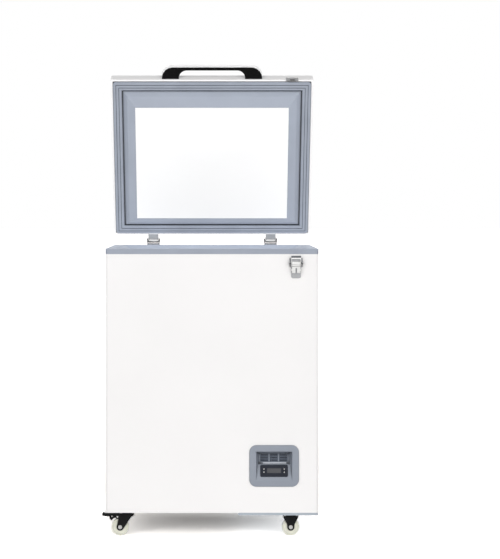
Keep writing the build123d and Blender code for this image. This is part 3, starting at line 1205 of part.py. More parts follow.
CHEEK_INNER = LEAF_WIDTH / 2 + BRACKET_CLEARANCE
CHEEK_OUTER = CHEEK_INNER + BRACKET_SHEET
BRACKET_TOP_Z = WRAP_TOP_Z - BRACKET_CLEARANCE
WEB_TOP_Z = HINGE_Z - BARREL_RADIUS - BRACKET_CLEARANCE
WEB_HEIGHT = WEB_TOP_Z - BRACKET_TOP_Z + BRACKET_HEIGHT / 3
with BuildPart() as hinge_brackets:
    for side in (-1, 1):
        with BuildSketch(facing_front(PANEL_OUTER_Y + BRACKET_SHEET)):
            with Locations((side * HINGE_X, BRACKET_TOP_Z - BRACKET_HEIGHT / 2)):
                Rectangle(2 * CHEEK_OUTER, BRACKET_HEIGHT)
        extrude(amount=BRACKET_SHEET)
        with BuildSketch(facing_front(HINGE_Y - CHEEK_RADIUS + BRACKET_SHEET)):
            with Locations((side * HINGE_X, WEB_TOP_Z - WEB_HEIGHT / 2)):
                Rectangle(2 * CHEEK_OUTER, WEB_HEIGHT)
        extrude(amount=BRACKET_SHEET)
        for hand in (-1, 1):
            cheek_x = side * HINGE_X + hand * (CHEEK_INNER + BRACKET_SHEET / 2)
            with BuildSketch(facing_right(cheek_x)):
                with BuildLine():
                    Polyline(
                        (PANEL_OUTER_Y, BRACKET_TOP_Z - BRACKET_HEIGHT),
                        (PANEL_OUTER_Y, BRACKET_TOP_Z),
                        (REAR_Y + BRACKET_CLEARANCE, BRACKET_TOP_Z + BRACKET_CLEARANCE),
                        (HINGE_Y - CHEEK_RADIUS, HINGE_Z),
                        (HINGE_Y + CHEEK_RADIUS, HINGE_Z),
                        (PANEL_OUTER_Y + 2 * BRACKET_SHEET, BRACKET_TOP_Z - BRACKET_HEIGHT),
                        close=True,
                    )
                make_face()
                with Locations((HINGE_Y, HINGE_Z)):
                    Circle(CHEEK_RADIUS)
                    Circle(BARREL_BORE, mode=Mode.SUBTRACT)
            extrude(amount=BRACKET_SHEET / 2, both=True)
write(hinge_brackets, "hinge_brackets")

with BuildPart() as hinge_pins:
    for side in (-1, 1):
        with BuildSketch(facing_right(side * HINGE_X)):
            with Locations((HINGE_Y, HINGE_Z)):
                Circle(PIN_RADIUS)
        extrude(amount=CHEEK_OUTER + PIN_HEAD, both=True)
        for hand in (-1, 1):
            with BuildSketch(facing_right(side * HINGE_X + hand * CHEEK_OUTER)):
                with Locations((HINGE_Y, HINGE_Z)):
                    Circle(PIN_HEAD_RADIUS)
            extrude(amount=hand * PIN_HEAD)
write(hinge_pins, "hinge_pins")

# Toggle latch: base with two ears and a riveted pin, a slit lever on the pin, and a hook that it carries
PIVOT_Y = FRONT_Y - LATCH_PIVOT_OUT
HOOK_Y = PIVOT_Y - HOOK_PIVOT_OUT
HOOK_Z = LATCH_PIVOT_Z - HOOK_PIVOT_DROP
LATCH_BORE = LATCH_PIN_RADIUS + PIN_CLEARANCE
HOOK_BORE = HOOK_PIN_RADIUS + PIN_CLEARANCE
EAR_INNER = EAR_SPAN / 2 - LATCH_SHEET
LEVER_IN_Y = PIVOT_Y - LEVER_BARREL + LEVER_SHEET
with BuildPart() as latch_base:
    with BuildSketch(facing_front(FRONT_Y)):
        with Locations((LATCH_X, (LATCH_BOTTOM_Z + LATCH_PIVOT_Z) / 2)):
            RectangleRounded(LATCH_TAB_WIDTH, LATCH_PIVOT_Z - LATCH_BOTTOM_Z, 3 * LATCH_SHEET)
        with Locations((LATCH_X, LATCH_PIVOT_Z)):
            Rectangle(EAR_SPAN, 4 * EAR_RADIUS)
    extrude(amount=LATCH_SHEET)
    for hand in (-1, 1):
        with BuildSketch(facing_right(LATCH_X + hand * (EAR_INNER + LATCH_SHEET / 2))):
            with BuildLine():
                Polyline(
                    (FRONT_Y, LATCH_PIVOT_Z - 2 * EAR_RADIUS),
                    (FRONT_Y, LATCH_PIVOT_Z + 2 * EAR_RADIUS),
                    (PIVOT_Y, LATCH_PIVOT_Z + EAR_RADIUS),
                    (PIVOT_Y, LATCH_PIVOT_Z - EAR_RADIUS),
                    close=True,
                )
            make_face()
            with Locations((PIVOT_Y, LATCH_PIVOT_Z)):
                Circle(EAR_RADIUS)
        extrude(amount=LATCH_SHEET / 2, both=True)
    with BuildSketch(facing_right(LATCH_X)):
        with Locations((PIVOT_Y, LATCH_PIVOT_Z)):
            Circle(LATCH_PIN_RADIUS)
    extrude(amount=EAR_SPAN / 2 + LATCH_SHEET, both=True)
    for hand in (-1, 1):
        with BuildSketch(facing_right(LATCH_X + hand * EAR_SPAN / 2)):
            with Locations((PIVOT_Y, LATCH_PIVOT_Z)):
                Circle(LATCH_PIN_HEAD_RADIUS)
        extrude(amount=hand * LATCH_SHEET)
write(latch_base, "latch_base")

with BuildPart() as latch_lever:
    with BuildSketch(facing_right(LATCH_X)):
        with BuildLine():
            Polyline(
                (LEVER_IN_Y, LATCH_PIVOT_Z),
                (LEVER_IN_Y - LEVER_SHEET, LATCH_PIVOT_Z),
                (LEVER_IN_Y - LEVER_SHEET, LEVER_BOTTOM_Z + LEVER_BARREL),
                (LEVER_IN_Y - 2 * LEVER_SHEET, LEVER_BOTTOM_Z),
                (LEVER_IN_Y - LEVER_SHEET, LEVER_BOTTOM_Z),
                (LEVER_IN_Y, LEVER_BOTTOM_Z + LEVER_BARREL),
                close=True,
            )
        make_face()
        with Locations((PIVOT_Y, LATCH_PIVOT_Z)):
            Circle(LEVER_BARREL)
        with Locations((HOOK_Y, HOOK_Z)):
            Circle(2 * HOOK_PIN_RADIUS)
        with Locations((PIVOT_Y, LATCH_PIVOT_Z)):
            Circle(LATCH_BORE, mode=Mode.SUBTRACT)
        with Locations((HOOK_Y, HOOK_Z)):
            Circle(HOOK_BORE, mode=Mode.SUBTRACT)
    extrude(amount=LEVER_WIDTH / 2, both=True)
    with BuildSketch(facing_front_from(LATCH_X, LEVER_IN_Y)):
        with BuildLine():
            Polyline(
                (-LEVER_WIDTH / 2 - LEVER_WING, HOOK_Z - LEVER_WING_DROP),
                (LEVER_WIDTH / 2 + LEVER_WING, HOOK_Z - LEVER_WING_DROP),
                (LEVER_WIDTH / 2, LEVER_BOTTOM_Z + LEVER_BARREL),
                (-LEVER_WIDTH / 2, LEVER_BOTTOM_Z + LEVER_BARREL),
                close=True,
            )
        make_face()
    extrude(amount=LEVER_SHEET)
    with BuildSketch(facing_front_from(LATCH_X, LEVER_IN_Y)):
        with Locations((0, LEVER_BOTTOM_Z)):
            SlotOverall(2 * LEVER_SLOT_HEIGHT, LEVER_SLOT_WIDTH, rotation=90)
    extrude(amount=2 * LEVER_SHEET, mode=Mode.SUBTRACT)
write(latch_lever, "latch_lever")

ARM_X = LEVER_WIDTH / 2 + HOOK_CLEARANCE + HOOK_SHEET / 2
ARM_IN_Y = PIVOT_Y - LATCH_PIN_RADIUS - HOOK_CLEARANCE
with BuildPart() as latch_hook:
    for hand in (-1, 1):
        with BuildSketch(facing_right(LATCH_X + hand * ARM_X)):
            with BuildLine():
                Polyline(
                    (ARM_IN_Y, HOOK_Z),
                    (ARM_IN_Y, LATCH_TOP_Z),
                    (ARM_IN_Y - 2 * HOOK_SHEET, LATCH_TOP_Z),
                    (ARM_IN_Y - 2 * HOOK_SHEET, HOOK_Z),
                    close=True,
                )
            make_face()
            with Locations((HOOK_Y, HOOK_Z)):
                Circle(2 * HOOK_PIN_RADIUS)
                Circle(HOOK_BORE, mode=Mode.SUBTRACT)
        extrude(amount=HOOK_SHEET / 2, both=True)
    with BuildSketch(facing_right(LATCH_X)):
        with BuildLine():
            Polyline(
                (ARM_IN_Y - 2 * HOOK_SHEET, LATCH_TOP_Z),
                (ARM_IN_Y + HOOK_BAR, LATCH_TOP_Z),
                (ARM_IN_Y + HOOK_BAR, LATCH_TOP_Z - HOOK_BAR),
                (ARM_IN_Y + HOOK_BAR - HOOK_SHEET, LATCH_TOP_Z - HOOK_BAR),
                (ARM_IN_Y + HOOK_BAR - HOOK_SHEET, LATCH_TOP_Z - HOOK_SHEET),
                (ARM_IN_Y - HOOK_SHEET, LATCH_TOP_Z - HOOK_SHEET),
                (ARM_IN_Y - HOOK_SHEET, LATCH_TOP_Z - 2 * HOOK_BAR),
                (ARM_IN_Y - 2 * HOOK_SHEET, LATCH_TOP_Z - 2 * HOOK_BAR),
                close=True,
            )
        make_face()
    extrude(amount=ARM_X + HOOK_SHEET / 2, both=True)
write(latch_hook, "latch_hook")

with BuildPart() as latch_hook_pin:
    with BuildSketch(facing_right(LATCH_X)):
        with Locations((HOOK_Y, HOOK_Z)):
            Circle(HOOK_PIN_RADIUS)
    extrude(amount=ARM_X + HOOK_SHEET, both=True)
write(latch_hook_pin, "latch_hook_pin")

# Keeper on the lid's front edge: a plate past the lip with a turned-up tongue
KEEPER_LOW = LIP_LEVEL - KEEPER_PAST_LIP
with BuildPart() as latch_keeper:
    with BuildSketch(on_lid(facing_front(LID_FRONT))):
        with Locations((KEEPER_X, (LIP_LEVEL + KEEPER_ON_LID + KEEPER_LOW) / 2)):
            RectangleRounded(KEEPER_WIDTH, KEEPER_ON_LID + KEEPER_PAST_LIP, 2 * LATCH_SHEET)
    extrude(amount=LATCH_SHEET)
    with BuildSketch(on_lid(facing_right(KEEPER_X))):
        with BuildLine():
            Polyline(
                (LID_FRONT, KEEPER_LOW),
                (LID_FRONT - KEEPER_REACH, KEEPER_LOW),
                (LID_FRONT - KEEPER_REACH, KEEPER_LOW + KEEPER_REACH),
                (LID_FRONT - KEEPER_REACH + LATCH_SHEET, KEEPER_LOW + KEEPER_REACH),
                (LID_FRONT - KEEPER_REACH + LATCH_SHEET, KEEPER_LOW + LATCH_SHEET),
                (LID_FRONT, KEEPER_LOW + LATCH_SHEET),
                close=True,
            )
        make_face()
    extrude(amount=KEEPER_TONGUE / 2, both=True)
write(latch_keeper, "latch_keeper")

# Screws on the lid: two in the keeper, two in each hinge leaf
with BuildPart() as lid_screws:
    with BuildSketch(on_lid(facing_front(LID_FRONT - LATCH_SHEET))):
        with Locations((KEEPER_X, LIP_LEVEL + KEEPER_ON_LID / 2)):
            with GridLocations(KEEPER_SCREW_PITCH, 0, 2, 1):
                Circle(SCREW_RADIUS)
    extrude(amount=SCREW_HEAD)
    with BuildSketch(on_lid(facing_front(LID_REAR + LEAF_THICKNESS))):
        with Locations((-HINGE_X, LEAF_SCREW_RISE), (HINGE_X, LEAF_SCREW_RISE)):
            with GridLocations(LEAF_WIDTH / 2, 0, 2, 1):
                Circle(SCREW_RADIUS)
    extrude(amount=-SCREW_HEAD)
write(lid_screws, "lid_screws")

# Castors: swivelling and braked on the left, fixed on the right
CASTOR_PLACES = (("front", -CASTOR_Y), ("rear", CASTOR_Y))
AXLE_BORE = AXLE_RADIUS + AXLE_CLEARANCE
SWIVEL_AXLE = (-SWIVEL_TRAIL, AXLE_Z)
FORK_NOSE = (CROWN_RADIUS, CROWN_LOW_Z - FORK_NOSE_DROP)
FORK_CHIN = (CROWN_RADIUS - 2 * FORK_NOSE_DROP, CROWN_LOW_Z - 2 * FORK_NOSE_DROP)
FORK_NOTCH = (PEDAL_X + FORK_LUG / 2, PEDAL_Z - FORK_LUG)

with BuildPart() as swivel_plates:
    for _, castor_y in CASTOR_PLACES:
        with BuildSketch(level(PLATE_LOW_Z)):
            with Locations((SWIVEL_X, castor_y)):
                RectangleRounded(PLATE_X, PLATE_Y, BOLT_RADIUS)
        extrude(amount=PLATE_SHEET)
        with BuildSketch(level(PLATE_LOW_Z)):
            with Locations((SWIVEL_X, castor_y)):
                Circle(RACE_RADIUS)
        extrude(amount=-RACE_HEIGHT)
        with BuildSketch(level(PLATE_LOW_Z)):
            with Locations((SWIVEL_X, castor_y)):
                Circle(KINGPIN_RADIUS)
        extrude(amount=CROWN_LOW_Z - RUNNING_GAP - PLATE_LOW_Z)
        with BuildSketch(level(CROWN_LOW_Z - RUNNING_GAP)):
            with Locations((SWIVEL_X, castor_y)):
                Circle(KINGPIN_HEAD_RADIUS)
        extrude(amount=-KINGPIN_HEAD)
write(swivel_plates, "swivel_plates")

for place, castor_y in CASTOR_PLACES:
    with BuildPart() as swivel_fork:
        with BuildSketch(level(CROWN_LOW_Z)):
            with Locations((SWIVEL_X, castor_y)):
                Circle(CROWN_RADIUS)
        extrude(amount=CROWN_THICKNESS)
        for hand in (-1, 1):
            with BuildSketch(facing_front_from(SWIVEL_X, castor_y + hand * (CHEEK_IN + FORK_SHEET / 2))):
                with BuildLine():
                    Polyline(
                        (PEDAL_X - FORK_LUG, PEDAL_Z),
                        (PEDAL_X - FORK_LUG, CROWN_LOW_Z),
                        (-CROWN_SHOULDER, CROWN_TOP_Z),
                        (CROWN_SHOULDER, CROWN_TOP_Z),
                        FORK_NOSE,
                        FORK_CHIN,
                        tangent_point(SWIVEL_AXLE, FORK_BOSS, FORK_CHIN, -1),
                        tangent_point(SWIVEL_AXLE, FORK_BOSS, FORK_NOTCH, 1),
                        FORK_NOTCH,
                        close=True,
                    )
                make_face()
                with Locations(SWIVEL_AXLE):
                    Circle(FORK_BOSS)
                    Circle(AXLE_BORE, mode=Mode.SUBTRACT)
                with Locations((PEDAL_X, PEDAL_Z)):
                    Circle(FORK_LUG)
                    Circle(PEDAL_PIN_RADIUS + PIN_CLEARANCE, mode=Mode.SUBTRACT)
            extrude(amount=FORK_SHEET / 2, both=True)
        with BuildSketch(level(CROWN_LOW_Z)):
            with Locations((SWIVEL_X, castor_y)):
                Circle(KINGPIN_RADIUS + PIN_CLEARANCE)
        extrude(amount=CROWN_THICKNESS, mode=Mode.SUBTRACT)
    write(swivel_fork, f"swivel_fork_{place}")

    # Axle with two heads, and the brake pedal's pin above it
    with BuildPart() as swivel_axle:
        with BuildSketch(facing_front_from(SWIVEL_X, castor_y)):
            with Locations((-SWIVEL_TRAIL, AXLE_Z)):
                Circle(AXLE_RADIUS)
        extrude(amount=CHEEK_OUT + AXLE_HEAD, both=True)
        for hand in (-1, 1):
            with BuildSketch(facing_front_from(SWIVEL_X, castor_y + hand * CHEEK_OUT)):
                with Locations((-SWIVEL_TRAIL, AXLE_Z)):
                    Circle(AXLE_HEAD_RADIUS)
            extrude(amount=-hand * AXLE_HEAD)
        with BuildSketch(facing_front_from(SWIVEL_X, castor_y)):
            with Locations((PEDAL_X, PEDAL_Z)):
                Circle(PEDAL_PIN_RADIUS)
        extrude(amount=CHEEK_OUT, both=True)
    write(swivel_axle, f"swivel_axle_{place}")

    # Brake pedal: a toe, a back with an eye, and a shoe that nears the tread when the toe is pressed
    with BuildPart() as brake_pedal:
        with BuildSketch(facing_front_from(SWIVEL_X + PEDAL_X, castor_y, PEDAL_Z)):
            with BuildLine():
                Polyline(
                    (0, PEDAL_BACK),
                    (-PEDAL_BACK_LENGTH, PEDAL_BACK),
                    (-PEDAL_TOE_REACH, PEDAL_TOE_RISE + PEDAL_TOE_RADIUS),
                    (-PEDAL_TOE_REACH, PEDAL_TOE_RISE - PEDAL_TOE_RADIUS),
                    (-PEDAL_EYE_REACH - PEDAL_SHOE_HALF, 0),
                    (-PEDAL_EYE_REACH - PEDAL_SHOE_HALF, -PEDAL_SHOE_DROP / 2),
                    (-PEDAL_EYE_REACH - PEDAL_SHOE_HALF / 2, -PEDAL_SHOE_DROP),
                    (-PEDAL_EYE_REACH, -PEDAL_SHOE_DROP),
                    (-PEDAL_EYE_REACH + PEDAL_SHOE_HALF, -PEDAL_SHOE_DROP / 3),
                    (0, -PEDAL_BARREL),
                    close=True,
                )
            make_face()
            Circle(PEDAL_BARREL)
            with Locations((-PEDAL_TOE_REACH, PEDAL_TOE_RISE)):
                Circle(PEDAL_TOE_RADIUS)
            with Locations((-PEDAL_EYE_REACH, 0)):
                Circle(PEDAL_EYE_RADIUS, mode=Mode.SUBTRACT)
            Circle(PEDAL_PIN_RADIUS + PIN_CLEARANCE, mode=Mode.SUBTRACT)
        extrude(amount=PEDAL_WIDTH / 2, both=True)
    write(brake_pedal, f"brake_pedal_{place}")

# Fixed forks under the base pan: one bent plate each, with waisted cheeks
FIXED_PLATE_LOW_Z = PAN_BOTTOM_Z - PLATE_SHEET
FIXED_WAIST_Z = (FIXED_PLATE_LOW_Z + AXLE_Z) / 2
with BuildPart() as fixed_forks:
    for _, castor_y in CASTOR_PLACES:
        with BuildSketch(level(FIXED_PLATE_LOW_Z)):
            with Locations((FIXED_X, castor_y)):
                RectangleRounded(FIXED_TOP_WIDTH, PLATE_Y, BOLT_RADIUS)
        extrude(amount=PLATE_SHEET)
        for hand in (-1, 1):
            with BuildSketch(facing_front_from(FIXED_X, castor_y + hand * (CHEEK_IN + FORK_SHEET / 2))):
                with BuildLine():
                    Line((-FIXED_TOP_WIDTH / 2, PAN_BOTTOM_Z), (FIXED_TOP_WIDTH / 2, PAN_BOTTOM_Z))
                    for side in (-1, 1):
                        ThreePointArc(
                            (side * FIXED_TOP_WIDTH / 2, PAN_BOTTOM_Z),
                            (side * FIXED_WAIST_WIDTH / 2, FIXED_WAIST_Z),
                            (side * FORK_BOSS, AXLE_Z),
                        )
                    Line((FORK_BOSS, AXLE_Z), (-FORK_BOSS, AXLE_Z))
                make_face()
                with Locations((0, AXLE_Z)):
                    Circle(FORK_BOSS)
                    Circle(AXLE_BORE, mode=Mode.SUBTRACT)
            extrude(amount=FORK_SHEET / 2, both=True)
write(fixed_forks, "fixed_forks")

with BuildPart() as fixed_axles:
    for _, castor_y in CASTOR_PLACES:
        with BuildSketch(facing_front_from(FIXED_X, castor_y)):
            with Locations((0, AXLE_Z)):
                Circle(AXLE_RADIUS)
        extrude(amount=CHEEK_OUT + AXLE_HEAD, both=True)
        for hand in (-1, 1):
            with BuildSketch(facing_front_from(FIXED_X, castor_y + hand * CHEEK_OUT)):
                with Locations((0, AXLE_Z)):
                    Circle(AXLE_HEAD_RADIUS)
            extrude(amount=-hand * AXLE_HEAD)
write(fixed_axles, "fixed_axles")

# Wheels: a crowned tread, a sunk web on both sides and a plain hub
WHEEL_PLACES = (
    ("wheel_front_left", SWIVEL_X - SWIVEL_TRAIL, -CASTOR_Y),
    ("wheel_rear_left", SWIVEL_X - SWIVEL_TRAIL, CASTOR_Y),
    ("wheel_front_right", FIXED_X, -CASTOR_Y),
    ("wheel_rear_right", FIXED_X, CASTOR_Y),
)
for wheel_name, wheel_x, wheel_y in WHEEL_PLACES:
    with BuildPart() as castor_wheel:
        with BuildSketch(Plane(origin=(wheel_x, wheel_y, AXLE_Z), x_dir=(0, 1, 0), z_dir=(1, 0, 0))):
            with BuildLine():
                for side in (-1, 1):
                    Polyline(
                        (side * WHEEL_WIDTH / 2, AXLE_BORE),
                        (side * WHEEL_WIDTH / 2, WHEEL_HUB_RADIUS),
                        (side * (WHEEL_WIDTH / 2 - WHEEL_RECESS), WHEEL_HUB_RADIUS),
                        (side * (WHEEL_WIDTH / 2 - WHEEL_RECESS), WHEEL_RIM_RADIUS),
                        (side * WHEEL_WIDTH / 2, WHEEL_RIM_RADIUS),
                        (side * WHEEL_WIDTH / 2, WHEEL_RADIUS - WHEEL_CROWN),
                    )
                ThreePointArc(
                    (-WHEEL_WIDTH / 2, WHEEL_RADIUS - WHEEL_CROWN),
                    (0, WHEEL_RADIUS),
                    (WHEEL_WIDTH / 2, WHEEL_RADIUS - WHEEL_CROWN),
                )
                Line((-WHEEL_WIDTH / 2, AXLE_BORE), (WHEEL_WIDTH / 2, AXLE_BORE))
            make_face()
        revolve(axis=Axis((wheel_x, wheel_y, AXLE_Z), (0, 1, 0)))
    write(castor_wheel, wheel_name)

# Fasteners of the cabinet: screws in the rear flanges, service cover and hinge brackets, and castor bolts
FLANGE_SCREW_X = CABINET_WIDTH / 2 - REAR_FLANGE / 2
FLANGE_SCREW_LOW_Z = UNDERSIDE_Z + REAR_FLANGE
FLANGE_SCREW_ROWS = 4
FLANGE_SCREW_PITCH = (WRAP_TOP_Z - UNDERSIDE_Z - 2 * REAR_FLANGE) / (FLANGE_SCREW_ROWS - 1)
BRACKET_SCREW_Z = BRACKET_TOP_Z - BRACKET_HEIGHT / 2
COVER_SCREW_INSET = COVER_LAP + SCREW_RADIUS
BOLT_INSET = 3 * BOLT_RADIUS
with BuildPart() as cabinet_fasteners:
    with BuildSketch(facing_front(REAR_Y)):
        for row in range(FLANGE_SCREW_ROWS):
            screw_z = FLANGE_SCREW_LOW_Z + row * FLANGE_SCREW_PITCH
            with Locations((-FLANGE_SCREW_X, screw_z), (FLANGE_SCREW_X, screw_z)):
                Circle(SCREW_RADIUS)
        with Locations((COVER_X, COVER_Z)):
            with GridLocations(COVER_WIDTH - COVER_SCREW_INSET, COVER_HEIGHT - COVER_SCREW_INSET, 2, 2):
                Circle(SCREW_RADIUS)
    extrude(amount=-SCREW_HEAD)
    with BuildSketch(facing_front(PANEL_OUTER_Y + BRACKET_SHEET)):
        with Locations((-HINGE_X, BRACKET_SCREW_Z), (HINGE_X, BRACKET_SCREW_Z)):
            with GridLocations(LEAF_WIDTH / 2, BRACKET_HEIGHT / 2, 2, 2):
                Circle(SCREW_RADIUS)
    extrude(amount=-SCREW_HEAD)
    for _, castor_y in CASTOR_PLACES:
        with BuildSketch(level(PLATE_LOW_Z)):
            with Locations((SWIVEL_X, castor_y)):
                with GridLocations(PLATE_X - BOLT_INSET, PLATE_Y - BOLT_INSET, 2, 2):
                    RegularPolygon(BOLT_RADIUS, BOLT_SIDES)
        extrude(amount=-BOLT_HEAD)
        with BuildSketch(level(FIXED_PLATE_LOW_Z)):
            with Locations((FIXED_X, castor_y)):
                with GridLocations(FIXED_TOP_WIDTH - BOLT_INSET, PLATE_Y - BOLT_INSET, 2, 2):
                    RegularPolygon(BOLT_RADIUS, BOLT_SIDES)
        extrude(amount=-BOLT_HEAD)
write(cabinet_fasteners, "cabinet_fasteners")
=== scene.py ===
import json
import math

import bmesh
import bpy
from mathutils import Matrix, Vector

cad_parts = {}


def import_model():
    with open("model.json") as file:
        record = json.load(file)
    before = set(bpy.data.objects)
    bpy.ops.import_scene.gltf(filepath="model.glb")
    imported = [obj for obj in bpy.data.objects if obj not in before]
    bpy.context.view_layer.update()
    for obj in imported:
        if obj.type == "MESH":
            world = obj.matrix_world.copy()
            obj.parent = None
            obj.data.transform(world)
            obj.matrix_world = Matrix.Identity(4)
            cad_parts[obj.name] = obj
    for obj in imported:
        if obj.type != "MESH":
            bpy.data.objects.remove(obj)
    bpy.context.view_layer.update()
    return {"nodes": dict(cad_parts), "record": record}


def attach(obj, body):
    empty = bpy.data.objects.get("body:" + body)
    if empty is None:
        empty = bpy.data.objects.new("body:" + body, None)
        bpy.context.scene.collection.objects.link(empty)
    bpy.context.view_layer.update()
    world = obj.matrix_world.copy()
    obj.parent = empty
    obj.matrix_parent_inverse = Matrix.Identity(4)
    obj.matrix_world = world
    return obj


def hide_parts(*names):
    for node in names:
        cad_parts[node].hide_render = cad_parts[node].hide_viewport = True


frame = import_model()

# Looks of a chest freezer for ultra low temperatures, its lid standing open, on a white floor.
# Metres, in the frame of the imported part: +X right, +Y back, +Z up.

NODES = frame["nodes"]
SLOTS = {part["node"]: part["material_slot"] for part in frame["record"]["subparts"]}
JOINTS = {joint["name"]: joint for joint in frame["record"]["behaviour"]["joints"]}

# The object that shows each node: the node itself, or the piece that replaces it
SHOWN = dict(NODES)

# Camera at the photograph's place: level, square to the front, with the frame shifted.
# The first three are in pixels of the photograph.
IMAGE_LONG_SIDE = 559.0
IMAGE_CENTRE = (250.0, 279.5)
VANISHING_POINT = (212.0, 201.0)
CAMERA_DISTANCE = 5.86
CAMERA_HEIGHT = 0.948
CAMERA_LENS = 128.4
CAMERA_SENSOR = 36.0
CAMERA_REACH = 100.0

# Lid: its hinge, and at rest the directions from the hinge to its front and out of its inside
LID_HINGE = Vector(JOINTS["lid_hinge"]["pos_m"])
LID_OPENED = -math.radians(JOINTS["lid_hinge"]["range_deg"][0])
LID_ALONG = Vector((0.0, -math.cos(LID_OPENED), math.sin(LID_OPENED)))
LID_INWARD = Vector((0.0, -math.sin(LID_OPENED), -math.cos(LID_OPENED)))

# Lid plug: depths below which its inner facet's middle and its face lie, its middle lines,
# and how far the inner panel's edges move in
PLUG_FACET = 0.0190
PLUG_FACE = 0.0230
PLUG_MIDDLE_X = 0.0100
PLUG_MIDDLE = 0.2810
PANEL_SIDE_SHIFT = 0.0055
PANEL_FRONT_SHIFT = 0.0140

# Fixed forks: their middle, where the cheeks start to flare, and how wide they get
FORK_X = 0.2230
FORK_FLARE_Z = 0.0297
FORK_FLARE_HEIGHT = 0.0212
FORK_PLATE_Z = 0.0610
FORK_FLARE = 0.0055
FORK_TOP_HALF = 0.0215

# Latch hook: where its top bar begins, and with it the painted shade of its top, and how softly
# that painted shade sets in
HOOK_SHADE_Z = 0.7885
HOOK_SHADE_BLEND = 0.0006

# Dots on the buttons, and how far a point may lie behind a button's outer face to count as on it
DOT_SIZE = 0.0028
DOT_RISE = 0.0001
FACE_TOLERANCE = 0.00005

# Strip in the control recess, partly a label strip and partly a painted highlight along its ledge,
# and where its wall is looked for from the front
STRIP_FROM = Vector((0.1769, -0.4, 0.2084))
STRIP_WIDTH = 0.066
STRIP_HEIGHT = 0.0034
STRIP_CORNER = 0.0008
STRIP_RISE = 0.0003

# Edge radii: points this near are joined first, and edges sharper than this are rounded
WELD_REACH = 0.00001
EDGE_SEGMENTS = 2
EDGE_ANGLE = math.radians(40.0)

# Painted shade in hollows: shares of open sky between which it goes from its darkest to the plain
# colour
HOLLOW_CLOSED = 0.25
HOLLOW_OPEN = 0.8

# Display colours, as 0 to 255
WHITE = (249, 248, 248)
PANEL_WHITE = (252, 252, 252)
TRIM_WHITE = (244, 244, 245)
FLOOR_WHITE = (249, 246, 243)
BLUE_GREY = (155, 162, 175)
BEZEL_GREY = (144, 151, 163)
GASKET_GREY = (155, 162, 175)
PALE_GREY = (172, 181, 190)
SCREEN_GREY = (98, 107, 122)
DISPLAY_GREY = (72, 73, 77)
STRIP_HIGHLIGHT_GREY = (208, 212, 219)
BLACK = (8, 8, 9)
BLACK_STEEL = (16, 16, 17)
CONTROLLER_BLACK = (36, 40, 50)
BUTTON_BLACK = (44, 45, 49)
RUBBER_BLACK = (40, 40, 40)
NYLON = (232, 232, 218)
STEEL = (200, 200, 199)
# Painted light: a lighter hinge leaf steel against the lid's shade
LIT_LEAF_STEEL = (212, 212, 211)
HINGE_STEEL = (114, 115, 118)
# Painted shade: the latch base steel, darker than the lever's, for its recessed tab
SHADED_LATCH_STEEL = (140, 141, 143)
LEVER_STEEL = (214, 214, 213)
KEEPER_STEEL = (158, 158, 160)
# Painted shade: the hinge pins in the knuckle's shadow, and the latch hook's top
PAINTED_SHADE_STEEL = (84, 85, 88)
ZINC = (182, 186, 190)
LINER = (205, 208, 212)
COPPER = (196, 128, 96)
FOAM = (232, 214, 160)


def linear(colour):
    """Scene colour of a display colour given as 0 to 255."""
    out = []
    for value in colour:
        share = value / 255.0
        out.append(share / 12.92 if share <= 0.04045 else ((share + 0.055) / 1.055) ** 2.4)
    return (*out, 1.0)


def shade(colour, factor):
    """The same display colour, lighter or darker."""
    return tuple(min(255.0, value * factor) for value in colour)


